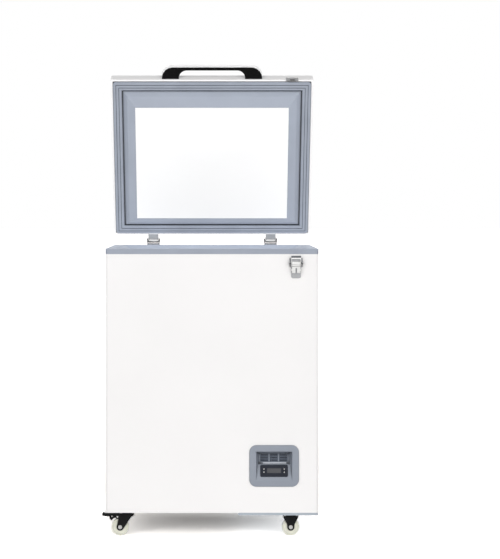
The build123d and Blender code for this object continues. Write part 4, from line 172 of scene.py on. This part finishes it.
class Finish:
    """A material with object coordinates, a colour that varies, and a bump built up from layers."""

    def __init__(self, name, roughness, metallic=0.0, specular=0.5):
        self.material = bpy.data.materials.new(name)
        self.material.use_nodes = True
        self.tree = self.material.node_tree
        self.shader = self.tree.nodes["Principled BSDF"]
        self.shader.inputs["Roughness"].default_value = roughness
        self.shader.inputs["Metallic"].default_value = metallic
        self.shader.inputs["Specular IOR Level"].default_value = specular
        self.place = self.tree.nodes.new("ShaderNodeTexCoord").outputs["Object"]

    def node(self, kind, **inputs):
        """A new shader node, its inputs set by name."""
        made = self.tree.nodes.new(kind)
        for name, value in inputs.items():
            made.inputs[name.replace("_", " ")].default_value = value
        return made

    def link(self, source, target):
        self.tree.links.new(source, target)

    def stretched(self, scale):
        """Object coordinates scaled by a different amount along each axis."""
        mapping = self.node("ShaderNodeMapping", Scale=scale)
        self.link(self.place, mapping.inputs["Vector"])
        return mapping.outputs["Vector"]

    def noise(self, scale, detail=2.0, place=None):
        made = self.node("ShaderNodeTexNoise", Scale=scale, Detail=detail)
        self.link(place or self.place, made.inputs["Vector"])
        return made.outputs["Fac"]

    def cells(self, scale):
        made = self.node("ShaderNodeTexVoronoi", Scale=scale)
        self.link(self.place, made.inputs["Vector"])
        return made.outputs["Distance"]

    def ramp(self, factor, low, high, start=0.3, end=0.7):
        """Colours from low to high as the factor goes from start to end."""
        made = self.tree.nodes.new("ShaderNodeValToRGB")
        made.color_ramp.elements[0].position = start
        made.color_ramp.elements[1].position = end
        made.color_ramp.elements[0].color = linear(low)
        made.color_ramp.elements[1].color = linear(high)
        self.link(factor, made.inputs["Fac"])
        return made.outputs["Color"]

    def scaled(self, colour, share):
        """The base colour becomes this colour times a share."""
        made = self.tree.nodes.new("ShaderNodeVectorMath")
        made.operation = "SCALE"
        self.link(colour, made.inputs["Vector"])
        self.link(share, made.inputs["Scale"])
        self.link(made.outputs["Vector"], self.shader.inputs["Base Color"])

    def colour(self, factor, colour, spread, start=0.3, end=0.7):
        """Base colour that drifts by the share spread about a display colour."""
        low, high = shade(colour, 1 - spread), shade(colour, 1 + spread)
        drifting = self.ramp(factor, low, high, start, end)
        self.link(drifting, self.shader.inputs["Base Color"])

    def painted_shade_in_hollows(self, reach, depth):
        """Painted shade: darkens the base colour where surfaces within reach close in, down to the
        share depth.
        """
        closing = self.node("ShaderNodeAmbientOcclusion", Distance=reach)
        share = self.node(
            "ShaderNodeMapRange",
            From_Min=HOLLOW_CLOSED,
            From_Max=HOLLOW_OPEN,
            To_Min=depth,
            To_Max=1.0,
        )
        self.link(closing.outputs["AO"], share.inputs["Value"])
        base = self.shader.inputs["Base Color"].links[0].from_socket
        self.scaled(base, share.outputs["Result"])

    def gloss(self, factor, low, high):
        """Roughness between low and high."""
        made = self.node("ShaderNodeMapRange", To_Min=low, To_Max=high)
        self.link(factor, made.inputs["Value"])
        self.link(made.outputs["Result"], self.shader.inputs["Roughness"])

    def bump(self, height, depth, strength):
        """Adds a layer of bump, depth in metres."""
        made = self.node("ShaderNodeBump", Strength=strength, Distance=depth)
        self.link(height, made.inputs["Height"])
        normal = self.shader.inputs["Normal"]
        if normal.is_linked:
            self.link(normal.links[0].from_socket, made.inputs["Normal"])
        self.link(made.outputs["Normal"], normal)


def sprayed_paint(name, colour, roughness, specular=0.5, peel=0.35, gap=0.0):
    """Sprayed sheet: fine orange peel, slow drift in tone and gloss, painted shade in gaps this
    narrow.
    """
    finish = Finish(name, roughness, specular=specular)
    finish.colour(finish.noise(scale=5.0, detail=3.0), colour, spread=0.006)
    if gap:
        finish.painted_shade_in_hollows(reach=gap, depth=0.2)
    finish.gloss(finish.noise(scale=40.0, detail=4.0), low=roughness - 0.05, high=roughness + 0.08)
    finish.bump(finish.noise(scale=420.0), depth=0.00012, strength=peel)
    finish.bump(finish.noise(scale=2.2), depth=0.004, strength=0.05)
    return finish.material


def moulded_plastic(name, colour, roughness, grain=1500.0, spread=0.02, specular=0.5, gap=0.0):
    """Moulded plastic with a fine spark-eroded grain, with painted shade in gaps that are this
    narrow.
    """
    finish = Finish(name, roughness, specular=specular)
    finish.colour(finish.noise(scale=9.0, detail=4.0), colour, spread)
    if gap:
        finish.painted_shade_in_hollows(reach=gap, depth=0.05)
    finish.gloss(finish.noise(scale=120.0, detail=3.0), low=roughness - 0.06, high=roughness + 0.06)
    finish.bump(finish.noise(scale=grain), depth=0.00015, strength=0.4)
    return finish.material


def soft_seal(name, colour):
    """Soft vinyl seal: matt, slightly uneven, with painted shade in its lines."""
    finish = Finish(name, roughness=0.62)
    finish.colour(finish.noise(scale=14.0, detail=5.0), colour, spread=0.03)
    finish.painted_shade_in_hollows(reach=0.006, depth=0.05)
    finish.gloss(finish.noise(scale=60.0), low=0.55, high=0.7)
    finish.bump(finish.noise(scale=900.0), depth=0.0002, strength=0.4)
    return finish.material


def plated_steel(name, colour, roughness, metallic=1.0, fold=0.005):
    """Plated steel with faint drawn lines, with painted shade in folds that are this narrow."""
    finish = Finish(name, roughness, metallic)
    drawn = finish.stretched((60.0, 60.0, 1500.0))
    finish.colour(finish.noise(scale=30.0, detail=4.0), colour, spread=0.04)
    finish.painted_shade_in_hollows(reach=fold, depth=0.12)
    lines = finish.noise(scale=1.0, detail=3.0, place=drawn)
    finish.gloss(lines, low=roughness - 0.06, high=roughness + 0.1)
    ridges = finish.noise(scale=1.0, detail=2.0, place=drawn)
    finish.bump(ridges, depth=0.00005, strength=0.3)
    return finish.material


def shade_topped_steel(name, colour, shade_colour, shade_height, blend):
    """Plated steel with painted shade above a height, where the plating turns away from the light.
    """
    finish = Finish(name, roughness=0.3, metallic=1.0)
    rise = finish.tree.nodes.new("ShaderNodeSeparateXYZ")
    finish.link(finish.place, rise.inputs["Vector"])
    above = finish.node(
        "ShaderNodeMapRange", From_Min=shade_height - blend, From_Max=shade_height + blend
    )
    finish.link(rise.outputs["Z"], above.inputs["Value"])
    tone = finish.ramp(above.outputs["Result"], colour, shade_colour, start=0.0, end=1.0)
    finish.link(tone, finish.shader.inputs["Base Color"])
    finish.gloss(finish.noise(scale=300.0, detail=3.0), low=0.24, high=0.4)
    return finish.material


def galvanised_steel(name, colour):
    """Galvanised sheet with its spangle."""
    finish = Finish(name, roughness=0.42, metallic=1.0)
    finish.colour(finish.cells(scale=70.0), colour, spread=0.1, start=0.0, end=0.6)
    finish.gloss(finish.cells(scale=55.0), low=0.32, high=0.55)
    return finish.material


def embossed_aluminium(name, colour):
    """Sheet with a pebbled emboss, as freezer liners have."""
    finish = Finish(name, roughness=0.36, metallic=0.85)
    finish.colour(finish.noise(scale=8.0, detail=3.0), colour, spread=0.02)
    finish.gloss(finish.noise(scale=200.0), low=0.3, high=0.42)
    finish.bump(finish.cells(scale=130.0), depth=0.0006, strength=0.5)
    return finish.material


def drawn_copper(name, colour):
    """Copper tube, tarnished in patches."""
    finish = Finish(name, roughness=0.3, metallic=1.0)
    finish.colour(finish.noise(scale=45.0, detail=6.0), colour, spread=0.16)
    finish.gloss(finish.noise(scale=90.0, detail=4.0), low=0.22, high=0.45)
    return finish.material


def blown_foam(name, colour):
    """Foam with its open cells."""
    finish = Finish(name, roughness=0.9)
    finish.colour(finish.noise(scale=60.0, detail=6.0), colour, spread=0.08)
    finish.bump(finish.cells(scale=500.0), depth=0.001, strength=0.8)
    return finish.material


def moulded_rubber(name, colour):
    """Matt rubber with a dusty bloom."""
    finish = Finish(name, roughness=0.75)
    finish.colour(finish.noise(scale=40.0, detail=4.0), colour, spread=0.12)
    finish.bump(finish.noise(scale=800.0), depth=0.0002, strength=0.5)
    return finish.material


def turned_nylon(name, colour):
    """Cream nylon wheel, a little translucent, scuffed, with painted shade where its faces step in.
    """
    finish = Finish(name, roughness=0.38)
    finish.colour(finish.noise(scale=70.0, detail=6.0), colour, spread=0.035)
    finish.painted_shade_in_hollows(reach=0.006, depth=0.35)
    finish.gloss(finish.noise(scale=250.0, detail=5.0), low=0.3, high=0.5)
    finish.bump(finish.noise(scale=600.0, detail=4.0), depth=0.0002, strength=0.3)
    finish.shader.inputs["Subsurface Weight"].default_value = 0.15
    finish.shader.inputs["Subsurface Radius"].default_value = (0.004, 0.004, 0.003)
    return finish.material


def liquid_crystal(name, colour):
    """Blank display behind a clear glossy window, with a faint grid of cells."""
    finish = Finish(name, roughness=0.12)
    grid = finish.node("ShaderNodeTexWave", Scale=260.0)
    finish.link(finish.place, grid.inputs["Vector"])
    finish.colour(grid.outputs["Fac"], colour, spread=0.05, start=0.0, end=1.0)
    finish.gloss(finish.noise(scale=60.0), low=0.08, high=0.18)
    finish.shader.inputs["Coat Weight"].default_value = 0.2
    finish.shader.inputs["Coat Roughness"].default_value = 0.05
    return finish.material


# Finishes by material slot, then those of single nodes
FINISHES = {
    "white_paint": sprayed_paint("white_paint", WHITE, roughness=0.32, gap=0.003),
    "galvanised_steel": galvanised_steel("galvanised_steel", ZINC),
    "grey_plastic": moulded_plastic("grey_plastic", BLUE_GREY, roughness=0.42),
    "gasket": soft_seal("gasket", GASKET_GREY),
    "liner_metal": embossed_aluminium("liner_metal", LINER),
    "inner_panel": sprayed_paint("inner_panel", PANEL_WHITE, roughness=0.45, peel=0.06),
    "foam": blown_foam("foam", FOAM),
    "copper": drawn_copper("copper", COPPER),
    "black_enamel": sprayed_paint("black_enamel", BLACK_STEEL, roughness=0.3, specular=0.3),
    "black_plastic": moulded_plastic(
        "black_plastic", BLACK, roughness=0.4, grain=1100.0, spread=0.08, specular=0.12
    ),
    "rubber": moulded_rubber("rubber", RUBBER_BLACK),
    "trim": sprayed_paint("trim", TRIM_WHITE, roughness=0.2, peel=0.1),
    "display": liquid_crystal("display", DISPLAY_GREY),
    "button": moulded_plastic(
        "button", BUTTON_BLACK, roughness=0.45, grain=2000.0, spread=0.05, specular=0.25
    ),
    "bright_steel": plated_steel("bright_steel", STEEL, roughness=0.28),
    "black_steel": sprayed_paint("black_steel", BLACK_STEEL, roughness=0.36, specular=0.12),
    "wheel": turned_nylon("wheel", NYLON),
}
STRIP_HIGHLIGHT_FINISH = sprayed_paint("strip_highlight_paint", STRIP_HIGHLIGHT_GREY, roughness=0.3, peel=0.1)
OWN_FINISH = {
    "base_pan": moulded_plastic("pan_plastic", PALE_GREY, roughness=0.45),
    "vent_screen": moulded_plastic("screen_plastic", SCREEN_GREY, roughness=0.5),
    "controller_case": moulded_plastic(
        "controller_plastic",
        CONTROLLER_BLACK,
        roughness=0.4,
        grain=1100.0,
        spread=0.06,
        specular=0.15,
    ),
    "lid_frame": moulded_plastic("frame_plastic", BLUE_GREY, roughness=0.42, gap=0.02),
    "lid_handle": moulded_plastic(
        "handle_plastic", BLACK, roughness=0.3, grain=420.0, spread=0.3, specular=0.22
    ),
    "rear_cover": sprayed_paint("cover_paint", WHITE, roughness=0.32, gap=0.012),
    "top_collar": moulded_plastic("collar_plastic", BLUE_GREY, roughness=0.4, specular=0.25),
    "control_bezel": moulded_plastic("bezel_plastic", BEZEL_GREY, roughness=0.45, gap=0.016),
    # Hinge leaves lighter and half metal as painted light against the lid's shade, with painted
    # shade in their folds
    "hinge_leaves": plated_steel(
        "leaf_plate_painted_light", LIT_LEAF_STEEL, roughness=0.45, metallic=0.5, fold=0.02
    ),
    "hinge_brackets": plated_steel("hinge_plate", HINGE_STEEL, roughness=0.35),
    # Hinge pins in a dark plating: painted shade where the knuckle lies in shadow
    "hinge_pins": plated_steel("pin_plate_painted_shade", PAINTED_SHADE_STEEL, roughness=0.4),
    # Latch base darker than the lever: painted shade on its tab, recessed below the lever
    "latch_base": plated_steel("latch_base_painted_shade", SHADED_LATCH_STEEL, roughness=0.32),
    "latch_lever": plated_steel("lever_plate", LEVER_STEEL, roughness=0.5, metallic=0.5),
    "latch_keeper": plated_steel("keeper_plate", KEEPER_STEEL, roughness=0.3),
    "latch_hook": shade_topped_steel("hook_plate_painted_shade", STEEL, PAINTED_SHADE_STEEL, HOOK_SHADE_Z, HOOK_SHADE_BLEND),
}


def dress(piece, material):
    """The piece shows this material alone."""
    piece.data.materials.clear()
    piece.data.materials.append(material)


def narrowed(point):
    """Brings the edges of the lid's inner panel in, and half as far the middle of its facets."""
    place = point - LID_HINGE
    depth = place.dot(LID_INWARD)
    share = 1.0 if depth > PLUG_FACE else 0.5 if depth > PLUG_FACET else 0.0
    moved = point.copy()
    if abs(place.x) > PLUG_MIDDLE_X:
        moved.x -= math.copysign(share * PANEL_SIDE_SHIFT, place.x)
    if place.dot(LID_ALONG) > PLUG_MIDDLE:
        moved -= LID_ALONG * (share * PANEL_FRONT_SHIFT)
    return moved


def flared(point):
    """Widens the cheeks of the fixed forks towards their plate."""
    moved = point.copy()
    if FORK_FLARE_Z < point.z < FORK_PLATE_Z:
        rise = min(1.0, (point.z - FORK_FLARE_Z) / FORK_FLARE_HEIGHT)
        widening = FORK_FLARE * rise * rise * (3.0 - 2.0 * rise)
        side = point.x - FORK_X
        moved.x = FORK_X + math.copysign(min(FORK_TOP_HALF, abs(side) + widening), side)
    return moved


def reshaped(node, name, body, move):
    """A copy of a node, its points moved to fit the photo, that replaces the node."""
    mesh = NODES[node].data.copy()
    mesh.name = name
    for vertex in mesh.vertices:
        vertex.co = move(vertex.co)
    made = bpy.data.objects.new(name, mesh)
    bpy.context.scene.collection.objects.link(made)
    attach(made, body)
    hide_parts(node)
    SHOWN[node] = made


reshaped("lid_frame", "lid_plug_frame", "lid", narrowed)
reshaped("lid_inner_panel", "lid_plug_panel", "lid", narrowed)
reshaped("lid_foam", "lid_plug_foam", "lid", narrowed)
reshaped("fixed_forks", "flared_forks", "cabinet", flared)
for node, slot in SLOTS.items():
    finish = OWN_FINISH.get(node, FINISHES[slot])
    dress(NODES[node], finish)
    dress(SHOWN[node], finish)

# Small edge radii on pieces whose edges catch the light
EDGE_RADII = {
    "top_collar": 0.0012,
    "control_bezel": 0.0010,
    "lid_handle": 0.0010,
    "lid_frame": 0.0006,
    "lid_gasket": 0.0008,
    "controller_case": 0.0005,
    "latch_base": 0.0004,
    "latch_lever": 0.0004,
    "latch_hook": 0.0003,
    "latch_keeper": 0.0003,
    "hinge_leaves": 0.0004,
    "hinge_brackets": 0.0004,
    "swivel_plates": 0.0004,
    "fixed_forks": 0.0004,
    "side_grille": 0.0006,
    "front_panel": 0.0005,
    "cabinet_wrapper": 0.0005,
    "lid_shell": 0.0008,
    "rear_cover": 0.0003,
    "power_inlet": 0.0004,
}
for node, radius in EDGE_RADII.items():
    weld = SHOWN[node].modifiers.new("join_faces", "WELD")
    weld.merge_threshold = WELD_REACH
    bevel = SHOWN[node].modifiers.new("edge_radius", "BEVEL")
    bevel.width = radius
    bevel.segments = EDGE_SEGMENTS
    bevel.limit_method = "ANGLE"
    bevel.angle_limit = EDGE_ANGLE
    bevel.harden_normals = True


def rounded_outline(width, height, corner, steps=8):
    """Points round a rectangle with rounded corners, about its middle."""
    points = []
    for quarter in range(4):
        side = 1.0 if quarter in (0, 3) else -1.0
        level = 1.0 if quarter in (0, 1) else -1.0
        for step in range(steps + 1):
            turn = math.radians(90.0 * (quarter + step / steps))
            x = side * (width / 2 - corner) + corner * math.cos(turn)
            y = level * (height / 2 - corner) + corner * math.sin(turn)
            points.append((x, y))
    return points


def raised_mark(name, body, material, centre, normal, width, height, corner, rise):
    """A thin pale mark with a soft edge, seated on a face and level across the front."""
    form = bmesh.new()
    rings = []
    for inset, level in ((0.0, -rise), (0.0, rise / 2), (rise / 2, rise)):
        outline = rounded_outline(width - 2 * inset, height - 2 * inset, corner - inset)
        rings.append([form.verts.new((x, y, level)) for x, y in outline])
    for low, high in zip(rings, rings[1:]):
        for start in range(len(low)):
            end = (start + 1) % len(low)
            form.faces.new((low[start], low[end], high[end], high[start]))
    form.faces.new(rings[-1])
    form.faces.new(list(reversed(rings[0])))
    across = Vector((1.0, 0.0, 0.0))
    turn = Matrix((across, normal.cross(across), normal)).transposed()
    seat = Matrix.Translation(centre) @ turn.to_4x4()
    bmesh.ops.transform(form, matrix=seat, verts=form.verts)
    mesh = bpy.data.meshes.new(name)
    form.to_mesh(mesh)
    form.free()
    made = bpy.data.objects.new(name, mesh)
    bpy.context.scene.collection.objects.link(made)
    dress(made, material)
    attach(made, body)


# White dots on the four buttons, each on the outer face of its button: partly the buttons' small
# marks, partly a painted highlight on each button
for joint in JOINTS.values():
    if joint["type"] == "slide":
        button = joint["child"]
        outward = -Vector(joint["axis"]).normalized()
        points = [vertex.co for vertex in NODES[button].data.vertices]
        reach = max(point.dot(outward) for point in points)
        outer = [point for point in points if point.dot(outward) > reach - FACE_TOLERANCE]
        raised_mark(
            button + "_mark",
            button,
            FINISHES["trim"],
            centre=sum(outer, Vector()) / len(outer),
            normal=outward,
            width=DOT_SIZE,
            height=DOT_SIZE,
            corner=DOT_SIZE / 2,
            rise=DOT_RISE,
        )

# Blank pale strip on the wall of the control recess, between the windows and the controller: partly
# a label strip, partly a painted highlight along the ledge
backwards = Vector((0.0, 1.0, 0.0))
wall_point, wall_normal = NODES["control_bezel"].ray_cast(STRIP_FROM, backwards)[1:3]
raised_mark(
    "recess_strip",
    "cabinet",
    STRIP_HIGHLIGHT_FINISH,
    centre=wall_point,
    normal=wall_normal,
    width=STRIP_WIDTH,
    height=STRIP_HEIGHT,
    corner=STRIP_CORNER,
    rise=STRIP_RISE,
)


def camera():
    """Level camera that looks along +Y, with the frame shifted off its axis."""
    data = bpy.data.cameras.new("camera")
    data.lens = CAMERA_LENS
    data.sensor_width = CAMERA_SENSOR
    data.shift_x = (IMAGE_CENTRE[0] - VANISHING_POINT[0]) / IMAGE_LONG_SIDE
    data.shift_y = (VANISHING_POINT[1] - IMAGE_CENTRE[1]) / IMAGE_LONG_SIDE
    data.clip_end = CAMERA_REACH
    made = bpy.data.objects.new("camera", data)
    made.location = (0.0, -CAMERA_DISTANCE, CAMERA_HEIGHT)
    made.rotation_euler = (math.radians(90.0), 0.0, 0.0)
    bpy.context.scene.collection.objects.link(made)
    bpy.context.scene.camera = made


def studio_sun(name, azimuth, elevation, softness, strength, only):
    """Wide soft light from far away, in degrees: azimuth 0 is the front and 90 the right.

    Where only names nodes, it lights and is blocked by what shows these alone.
    """
    data = bpy.data.lights.new(name, "SUN")
    data.angle = math.radians(softness)
    data.energy = strength
    turn, rise = math.radians(azimuth), math.radians(elevation)
    level = math.cos(rise)
    place = Vector((math.sin(turn) * level, -math.cos(turn) * level, math.sin(rise)))
    made = bpy.data.objects.new(name, data)
    made.location = place * CAMERA_DISTANCE
    made.rotation_euler = (-place).to_track_quat("-Z", "Y").to_euler()
    bpy.context.scene.collection.objects.link(made)
    if only:
        lit = bpy.data.collections.new(name)
        for node in only:
            lit.objects.link(SHOWN[node])
        made.light_linking.receiver_collection = lit
        made.light_linking.blocker_collection = lit


def world(horizon, zenith):
    """Fill light that falls off overhead, and white where camera, gloss or glass looks past."""
    made = bpy.data.worlds.new("studio")
    bpy.context.scene.world = made
    made.use_nodes = True
    tree = made.node_tree
    back = tree.nodes["Background"]
    path = tree.nodes.new("ShaderNodeLightPath")
    seen = tree.nodes.new("ShaderNodeMath")
    seen.operation = "MAXIMUM"
    direct = tree.nodes.new("ShaderNodeMath")
    direct.operation = "MAXIMUM"
    tree.links.new(path.outputs["Is Camera Ray"], direct.inputs[0])
    tree.links.new(path.outputs["Is Glossy Ray"], direct.inputs[1])
    tree.links.new(direct.outputs[0], seen.inputs[0])
    tree.links.new(path.outputs["Is Transmission Ray"], seen.inputs[1])
    place = tree.nodes.new("ShaderNodeTexCoord")
    rise = tree.nodes.new("ShaderNodeSeparateXYZ")
    fill = tree.nodes.new("ShaderNodeMapRange")
    fill.inputs["To Min"].default_value = horizon
    fill.inputs["To Max"].default_value = zenith
    tree.links.new(place.outputs["Generated"], rise.inputs["Vector"])
    tree.links.new(rise.outputs["Z"], fill.inputs["Value"])
    strength = tree.nodes.new("ShaderNodeMapRange")
    strength.inputs["To Max"].default_value = 1.0
    tree.links.new(fill.outputs["Result"], strength.inputs["To Min"])
    tree.links.new(seen.outputs[0], strength.inputs["Value"])
    back.inputs["Color"].default_value = (1.0, 1.0, 1.0, 1.0)
    tree.links.new(strength.outputs["Result"], back.inputs["Strength"])


def floor(half_size, lift, colour):
    """White floor that keeps the object's shadow: the camera sees it lifted to the background."""
    mesh = bpy.data.meshes.new("floor")
    sides = (-half_size, half_size)
    mesh.from_pydata([(x, y, 0.0) for x in sides for y in sides], [], [(0, 2, 3, 1)])
    made = bpy.data.objects.new("floor", mesh)
    bpy.context.scene.collection.objects.link(made)
    finish = Finish("floor", roughness=0.9, specular=0.0)
    path = finish.tree.nodes.new("ShaderNodeLightPath")
    strength = finish.node("ShaderNodeMapRange", To_Min=1.0, To_Max=lift)
    finish.link(path.outputs["Is Camera Ray"], strength.inputs["Value"])
    tone = finish.ramp(finish.noise(scale=1.0), shade(colour, 0.996), shade(colour, 1.004))
    finish.scaled(tone, strength.outputs["Result"])
    dress(made, finish.material)


LID_INSIDE = ("lid_inner_panel", "lid_frame", "lid_gasket", "lid_shell")
REAR_FACES = ("rear_panel", "rear_cover", "lid_shell")

# Two wide lights in front, then reflectors and lights for single faces: azimuth, elevation,
# softness, strength, and the nodes that the light is kept to
LIGHTS = (
    ("front_left", -22.0, 7.0, 50.0, 1.36, ()),
    ("front_right", 22.0, 7.0, 50.0, 1.36, ()),
    ("lid_reflector", 0.0, -46.0, 30.0, 0.8, LID_INSIDE),
    ("frame_reflector", 0.0, -80.0, 50.0, 1.2, ("lid_frame",)),
    ("rim_light", 0.0, 84.0, 40.0, 2.2, ("top_collar",)),
    ("trim_light", 0.0, 70.0, 50.0, 0.85, ("handle_trim",)),
    ("back_light", 180.0, 4.0, 30.0, 1.0, REAR_FACES),
)

bpy.context.scene.view_settings.view_transform = "Standard"
bpy.context.scene.cycles.caustics_reflective = False
camera()
world(horizon=0.78, zenith=0.0)

for light in LIGHTS:
    studio_sun(*light)
floor(half_size=60.0, lift=5.0, colour=FLOOR_WHITE)
